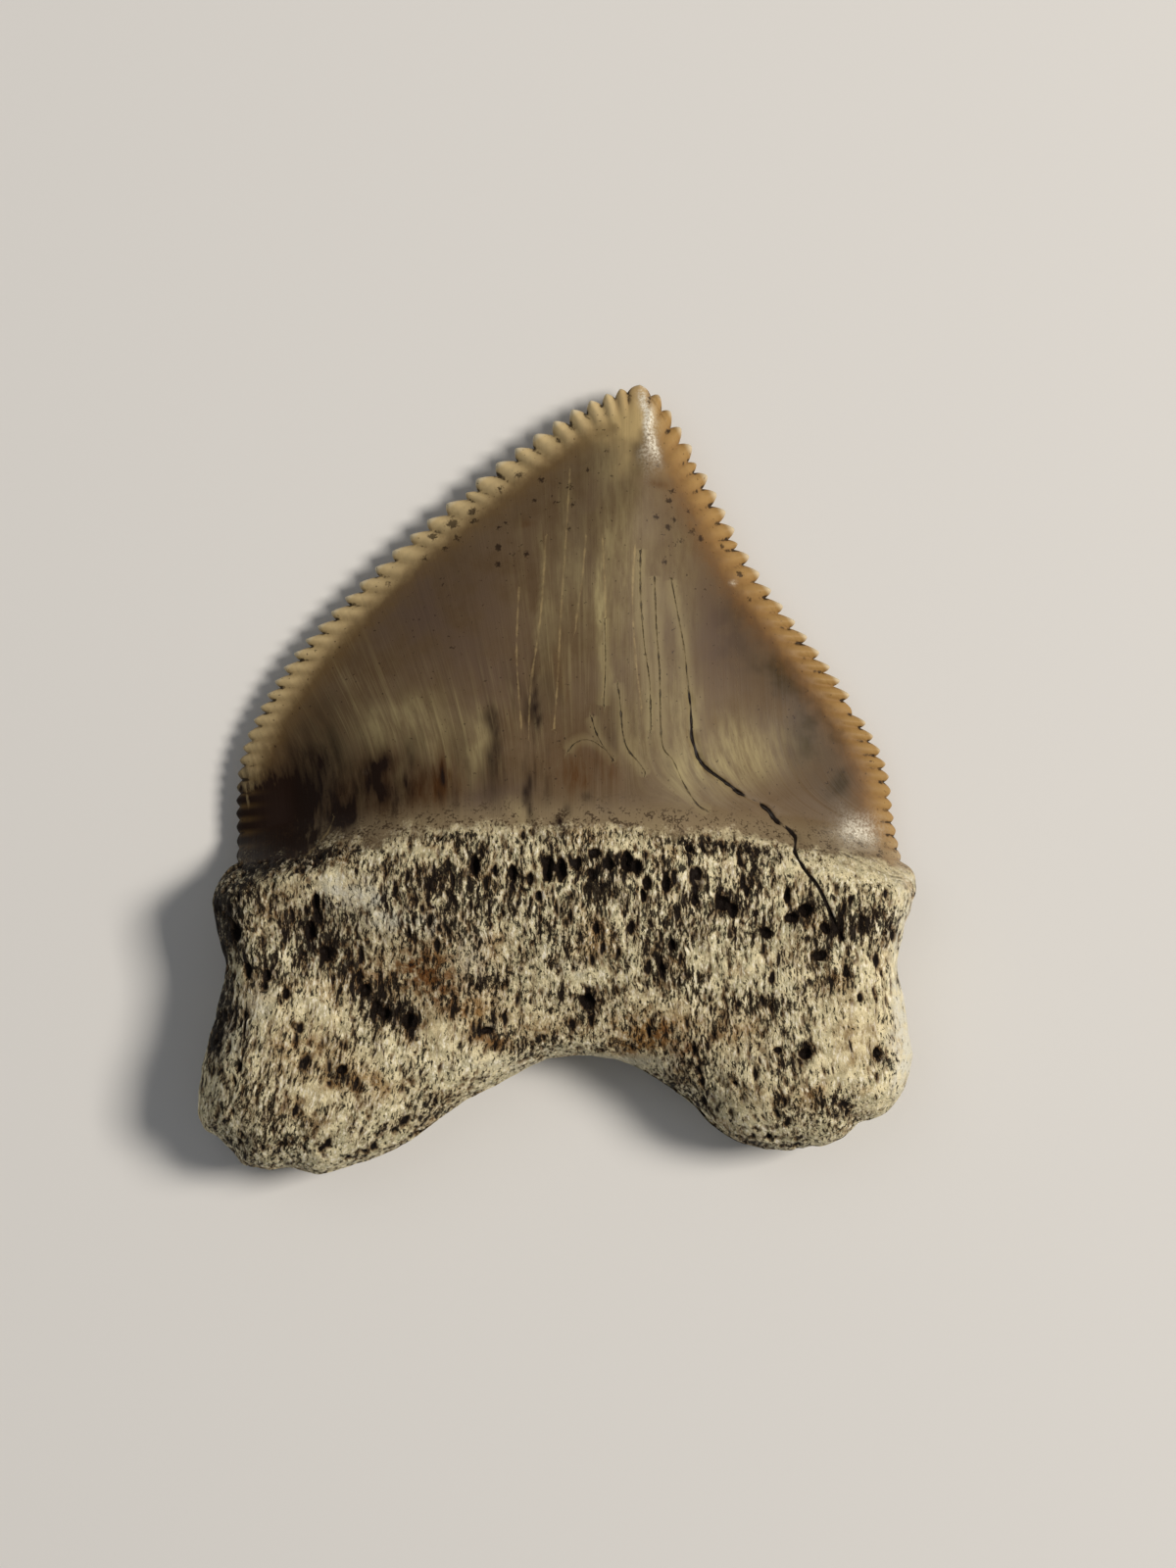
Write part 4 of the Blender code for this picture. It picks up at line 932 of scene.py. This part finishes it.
# Masks: a weighted sum of patterns, painted marks and masks above, or of products of them, plus a constant.
# Two more numbers turn the sum into a smooth step, which starts at the first and is whole at the second.
blends = {
    "softCloud": ({"cloud": 1}, 0, 0.35, 0.65),
    "softMottle": ({"mottle": 1}, 0, 0.35, 0.65),
    "softGrit": ({"grit": 1}, 0, 0.35, 0.65),
    "streaky": ({"streaks": 1}, 0, 0.28, 0.72),
    # these thin a stain to a third in places
    "clouded": ({"softCloud": 0.85}, 0.3),
    "mottled": ({"softMottle": 0.85}, 0.3),
    "gritted": ({"softGrit": 0.85}, 0.3),
    "streaked": ({"streaky": 0.85}, 0.3),
    "streakedCloud": ({"streaky": 0.85, "cloud": 0.68}, 0.3),
    # lines along the fibres
    "fibreLines": ({"fibres": 1}, 0, 0.48, 0.7),
    "fineLines": ({"fineFibres": 1}, 0, 0.5, 0.75),
    "broadLines": ({"broadFibres": 1}, 0, 0.46, 0.66),
    "brokenLines": ({"gaps": 1}, 0, 0.35, 0.62),
    # the rim, by the distance in from the notches
    "amberBand": ({"mottle": 0.6, "inward": 1}, 0, 1.9, 0.6),
    "denticleBand": ({"mottle": 0.4, "inward": 1}, 0, 1.15, 0.15),
    # the denticles' crests: paler tips and a painted highlight
    "denticleCrest": ({"inward": 1}, 0, -0.1, -0.36),
    # darker in the notches between denticles
    "notchDarkening": ({"softMottle": 0.7, "notch": 1}, 0, 1.0, 1.5),
    # crack and hairlines, uneven in width and strength
    "crackEdge": ({"acrossCrack": 1}, 0, 1.15, 0.7),
    "crackDepth": ({"crackOpen": 1}, 0, 0.15, 0.45),
    "darkHairLine": ({"darkHairAway": 1, "mottle": 0.12}, -0.06, 0.035, 0.004),
    "paleHairLine": ({"paleHairAway": 1, "mottle": 0.12}, -0.06, 0.05, 0.004),
    "hairStrip": ({"darkHairAway": 1}, 0, 0.34, 0.05),
    "hairPatches": ({"patches": 1}, 0, 0.34, 0.62),
    "hairGaps": ({"hairPatches": 0.65}, 0.2),
    # the enamel frays out over the neck
    "enamelShare": ({"mottle": 0.9, "grit": 0.7, "enamel": 1}, 0, 0.75, 1.25),
    "neckGrime": ({"mottle": 1, "grit": 1}, 0, 1.06, 1.18),
    "fleckShape": ({"softGrit": 0.35, "flecks": 1}, 0, 0.4, 0.8),
    "speckShape": ({"speckle": 1}, 0, 0.7, 0.78),
    # bone
    # the raised grain between the pores, which is lightened there as painted glints
    "ridges": ({"fineBone": 1}, 0, 0.47, 0.32),
    "tanned": ({"cloud": 1}, 0, 0.52, 0.72),
    "browned": ({"density": 0.2, "wideBone": 1}, 0, 0.54, 0.73),
    "widePores": ({"density": 0.2, "wideBone": 1}, 0, 0.67, 0.745),
    "finePores": ({"density": 0.2, "fineBone": 1}, 0, 0.625, 0.7),
    "poreRims": ({"pores": 1}, 0, 0.05, 0.45),
    # painted shade, deepening towards the floors of the pits and openings
    "poreFloorShade": ({"pores": 1}, 0, 0.35, 0.75),
    # roughness and height
    "enamelRough": ({"mottle": 0.12, "hammered": -0.26}, 0.46),
    "enamelHeight": ({"fibres": 0.25, "darkHairLine hairGaps": -0.6, "hammered grit": 0.9}, 0),
    "boneHeight": ({"finePores": -0.7, "widePores": -0.7, "grit": 0.8}, 0),
}
# Coats: a base and the layers on it, each a colour or a coat above, its strength and the masks that limit it
coats = {
    "amber": ("amberLeft", [("amberRight", 1, "rightSide")]),
    "denticle": ("denticleLeft", [("denticleRight", 1, "rightSide")]),
    "crown": ("body", [
        ("bodyGrey", 0.8, "softCloud"),
        ("bodyGrey", 0.25, "softMottle"),
        ("mauve", 0.9, "mauve clouded"),
        ("olive", 1.1, "olive clouded"),
        ("paleStreak", 0.55, "paleStreaks fibreLines brokenLines"),
        ("cream", 0.25, "paleStreaks fineLines"),
        ("darkStreak", 0.7, "darkStreaks broadLines"),
        ("amber", 0.72, "amberBand"),
        ("cream", 0.3, "hairStrip"),
        ("cream", 0.9, "cream streaked"),
        ("ivory", 0.85, "ivory clouded"),
        ("rust", 0.9, "rust streaked"),
        ("denticle", 0.95, "denticleBand"),
        # paler denticle tips with a painted highlight
        ("denticleTipAndHighlight", 0.6, "denticleCrest"),
        ("neckGrey", 0.5, "neck"),
        # painted highlights: glare, the lit facet and glints
        ("white", 0.75, "white gritted"),
        # dark stains, and painted shade in the thin lower-left corner
        ("dark", 1, "dark streakedCloud"),
        ("dark", 0.8, "fleckShape"),
        ("dark", 0.6, "speckShape"),
        ("neckDirt", 0.8, "neck neckGrime"),
        # darker amber, then near-black, in the notches between denticles
        ("amber", 0.45, "notch"),
        ("notchDark", 0.9, "notchDarkening"),
        # pale lines, the first of them a painted highlight
        ("ivory", 0.42, "paleHairLine hairGaps"),
        ("hairline", 1, "darkHairLine hairGaps"),
    ]),
    "root": ("bone", [
        ("boneGreen", 1, "softMottle"),
        ("boneOrange", 0.62, "tanned"),
        # painted glints on the bone's raised grain
        ("boneGlint", 0.9, "ridges"),
        ("neckGrey", 0.5, "neck"),
        ("boneOrange", 0.85, "orange mottled"),
        ("boneBrown", 0.72, "browned"),
        # painted highlights: the lit right rim, sheen and glints on the bone
        ("boneHighlight", 0.8, "white mottled"),
        ("boneRust", 0.85, "rust mottled"),
        # dark stains in the bone, and painted shade down the root's left side
        ("dark", 0.8, "dark gritted"),
        ("boneBrown", 0.7, "poreRims"),
        ("pore", 0.96, "widePores"),
        ("pore", 0.94, "finePores"),
        # painted shade in the floors of the pits and openings
        ("pore", 1, "poreFloorShade"),
        ("hairline", 1, "darkHairLine hairGaps"),
    ]),
    "tooth": ("root", [("crown", 1, "enamelShare"), ("pore", 1, "crackEdge crackDepth")]),
}
# apatite's index, a gloss dulled by burial, and bumps in millimetres
finish = {"index": 1.6, "gloss": 0.13, "boneRoughness": 0.72, "bumpStrength": 0.9, "bumpHeight": 0.07}


def linear(hexColour):
    # sRGB hex to the linear values that the shader works in
    parts = [int(hexColour[k:k + 2], 16) / 255 for k in (1, 3, 5)]
    return tuple(p / 12.92 if p <= 0.04045 else ((p + 0.055) / 1.055) ** 2.4 for p in parts) + (1.0,)


def addNode(tree, kind, sockets, output=0, **settings):
    # Adds a node and gives back one of its outputs. Each socket is a value or another node's output,
    # in the order of the inputs or by their number or name.
    node = tree.nodes.new("ShaderNode" + kind)
    for name, value in settings.items():
        setattr(node, name, value)
    for key, value in sockets.items() if isinstance(sockets, dict) else enumerate(sockets):
        if isinstance(value, bpy.types.NodeSocket):
            tree.links.new(value, node.inputs[key])
        else:
            node.inputs[key].default_value = value
    return node.outputs[output]


def setInputs(node, values):
    # Sets inputs of a node that is there already, by name
    for name, value in values.items():
        node.inputs[name].default_value = value


def toothMaterial():
    # Mineralised enamel over the crown, satin and slightly see-through, so its colours are soft-edged,
    # and weathered porous bone in the root, matt and full of dirt
    # Its colours also carry painted highlights, glints and rim light, and painted shade in the pit floors,
    # down the root's left side and in the thin lower-left corner.
    material = bpy.data.materials.new("mineralised_enamel_and_bone")
    material.use_nodes = True
    add = functools.partial(addNode, material.node_tree)
    places = {name: add("Attribute", (), "Vector", attribute_name=name) for name in ("fibreWays", "rootWays")}
    metres = add("TexCoord", (), "Object")
    places["object"] = add("VectorMath", {0: metres, "Scale": 1 / mm}, operation="SCALE")
    signals = {}
    for k in range(0, len(channelNames), 3):
        marks = add("Attribute", (), "Vector", attribute_name=f"marks{k // 3}")
        signals.update(zip(channelNames[k:k + 3], add("SeparateXYZ", (marks,)).node.outputs))
    for name, (place, size, detail, roughness) in patterns.items():
        scaled = add("VectorMath", (places[place], [1 / s for s in size]), operation="MULTIPLY")
        noise = {"Vector": scaled, "Scale": 1.0, "Detail": detail, "Roughness": roughness}
        signals[name] = add("TexNoise", noise)
    for kind in ("darkHair", "paleHair"):
        fields = [signals[name] for name in channelNames if name.startswith(kind)]
        away = [add("Math", (field,), operation="ABSOLUTE") for field in fields]
        signals[kind + "Away"] = functools.reduce(lambda a, b: add("Math", (a, b), operation="MINIMUM"), away)
    fromCrack = add("Math", (signals["crackSide"],), operation="ABSOLUTE")
    signals["acrossCrack"] = add("Math", (fromCrack, signals["crackWidth"]), operation="DIVIDE")
    for name, (weights, total, *ends) in blends.items():
        for parts, weight in weights.items():
            *others, last = parts.split()
            for other in others:
                weight = add("Math", (signals[other], weight), operation="MULTIPLY")
            total = add("Math", (signals[last], weight, total), operation="MULTIPLY_ADD")
        signals[name] = add("MapRange", (total, *ends), interpolation_type="SMOOTHSTEP") if ends else total
    tints = {name: linear(value) for name, value in colours.items()}
    for name, (base, layers) in coats.items():
        tints[name] = tints[base]
        for tint, mask, parts in layers:
            for part in parts.split():
                mask = add("Math", (signals[part], mask), operation="MULTIPLY")
            tints[name] = add("Mix", {0: mask, 6: tints[name], 7: tints[tint]}, 2, data_type="RGBA")
    share = signals["enamelShare"]
    rough = add("Mix", {0: share, 2: finish["boneRoughness"], 3: signals["enamelRough"]}, data_type="FLOAT")
    height = add("Mix", {0: share, 2: signals["boneHeight"], 3: signals["enamelHeight"]}, data_type="FLOAT")
    bumps = {"Height": height, "Strength": finish["bumpStrength"], "Distance": finish["bumpHeight"] * mm}
    shader = material.node_tree.nodes["Principled BSDF"]
    setInputs(shader, {"IOR": finish["index"], "Specular IOR Level": finish["gloss"]})
    results = {"Base Color": tints["tooth"], "Roughness": rough, "Normal": add("Bump", bumps)}
    for name, value in results.items():
        material.node_tree.links.new(value, shader.inputs[name])
    return material


toothMesh.materials.append(toothMaterial())
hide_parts("tooth")
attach(tooth, "root")
print("material: done")

stage = {
    "floorSize": 900.0, "floorColour": "#DEDEDD", "floorRoughness": 0.9,
    "sky": "#EEF0F4", "skyStrength": 0.17,
    "lens": 100.0, "sensor": 36.0, "nearest": 5.0, "frameHeight": 55.3, "frameCentre": (1.05, -0.2),
    # lights: place, size, power, colour
    "key": ((300, 60, 350), 130, 2.05, "#FFF6EA"),
    "fill": ((-160, 160, 380), 300, 0.14, "#FFFFFF"),
}


def addLight(name, place, size, power, colour):
    # A square lamp that faces the tooth
    lamp = bpy.data.lights.new(name, "AREA")
    lamp.size = size * mm
    lamp.energy = power
    lamp.color = linear(colour)[:3]
    made = placed(name, lamp)
    made.location = [c * mm for c in place]
    made.rotation_mode = "QUATERNION"
    made.rotation_quaternion = made.location.to_track_quat("Z", "Y")


def addFloor():
    # Plain matt paper, so large that its edge is far away
    half = stage["floorSize"] / 2 * mm
    corners = [(-half, -half, 0), (half, -half, 0), (half, half, 0), (-half, half, 0)]
    mesh = bpy.data.meshes.new("floor")
    mesh.from_pydata(corners, [], [(0, 1, 2, 3)])
    paper = bpy.data.materials.new("matt_paper")
    paper.use_nodes = True
    setInputs(paper.node_tree.nodes["Principled BSDF"],
              {"Base Color": linear(stage["floorColour"]), "Roughness": stage["floorRoughness"]})
    mesh.materials.append(paper)
    return placed("floor", mesh)


def addCamera():
    # Looks straight down, as the photo does
    camera = bpy.data.cameras.new("camera")
    camera.lens = stage["lens"]
    camera.sensor_width = stage["sensor"]
    camera.clip_start = stage["nearest"] * mm
    made = placed("camera", camera)
    distance = stage["frameHeight"] * stage["lens"] / stage["sensor"]
    made.location = [c * mm for c in (*stage["frameCentre"], distance)]
    bpy.context.scene.camera = made


floor = addFloor()
for name in ("key", "fill"):
    addLight(name, *stage[name])
world = bpy.data.worlds.new("studio")
world.use_nodes = True
sky = world.node_tree.nodes["Background"]
setInputs(sky, {"Color": linear(stage["sky"]), "Strength": stage["skyStrength"]})
bpy.context.scene.world = world
bpy.context.scene.view_settings.view_transform = "Standard"
addCamera()
print("studio: done")
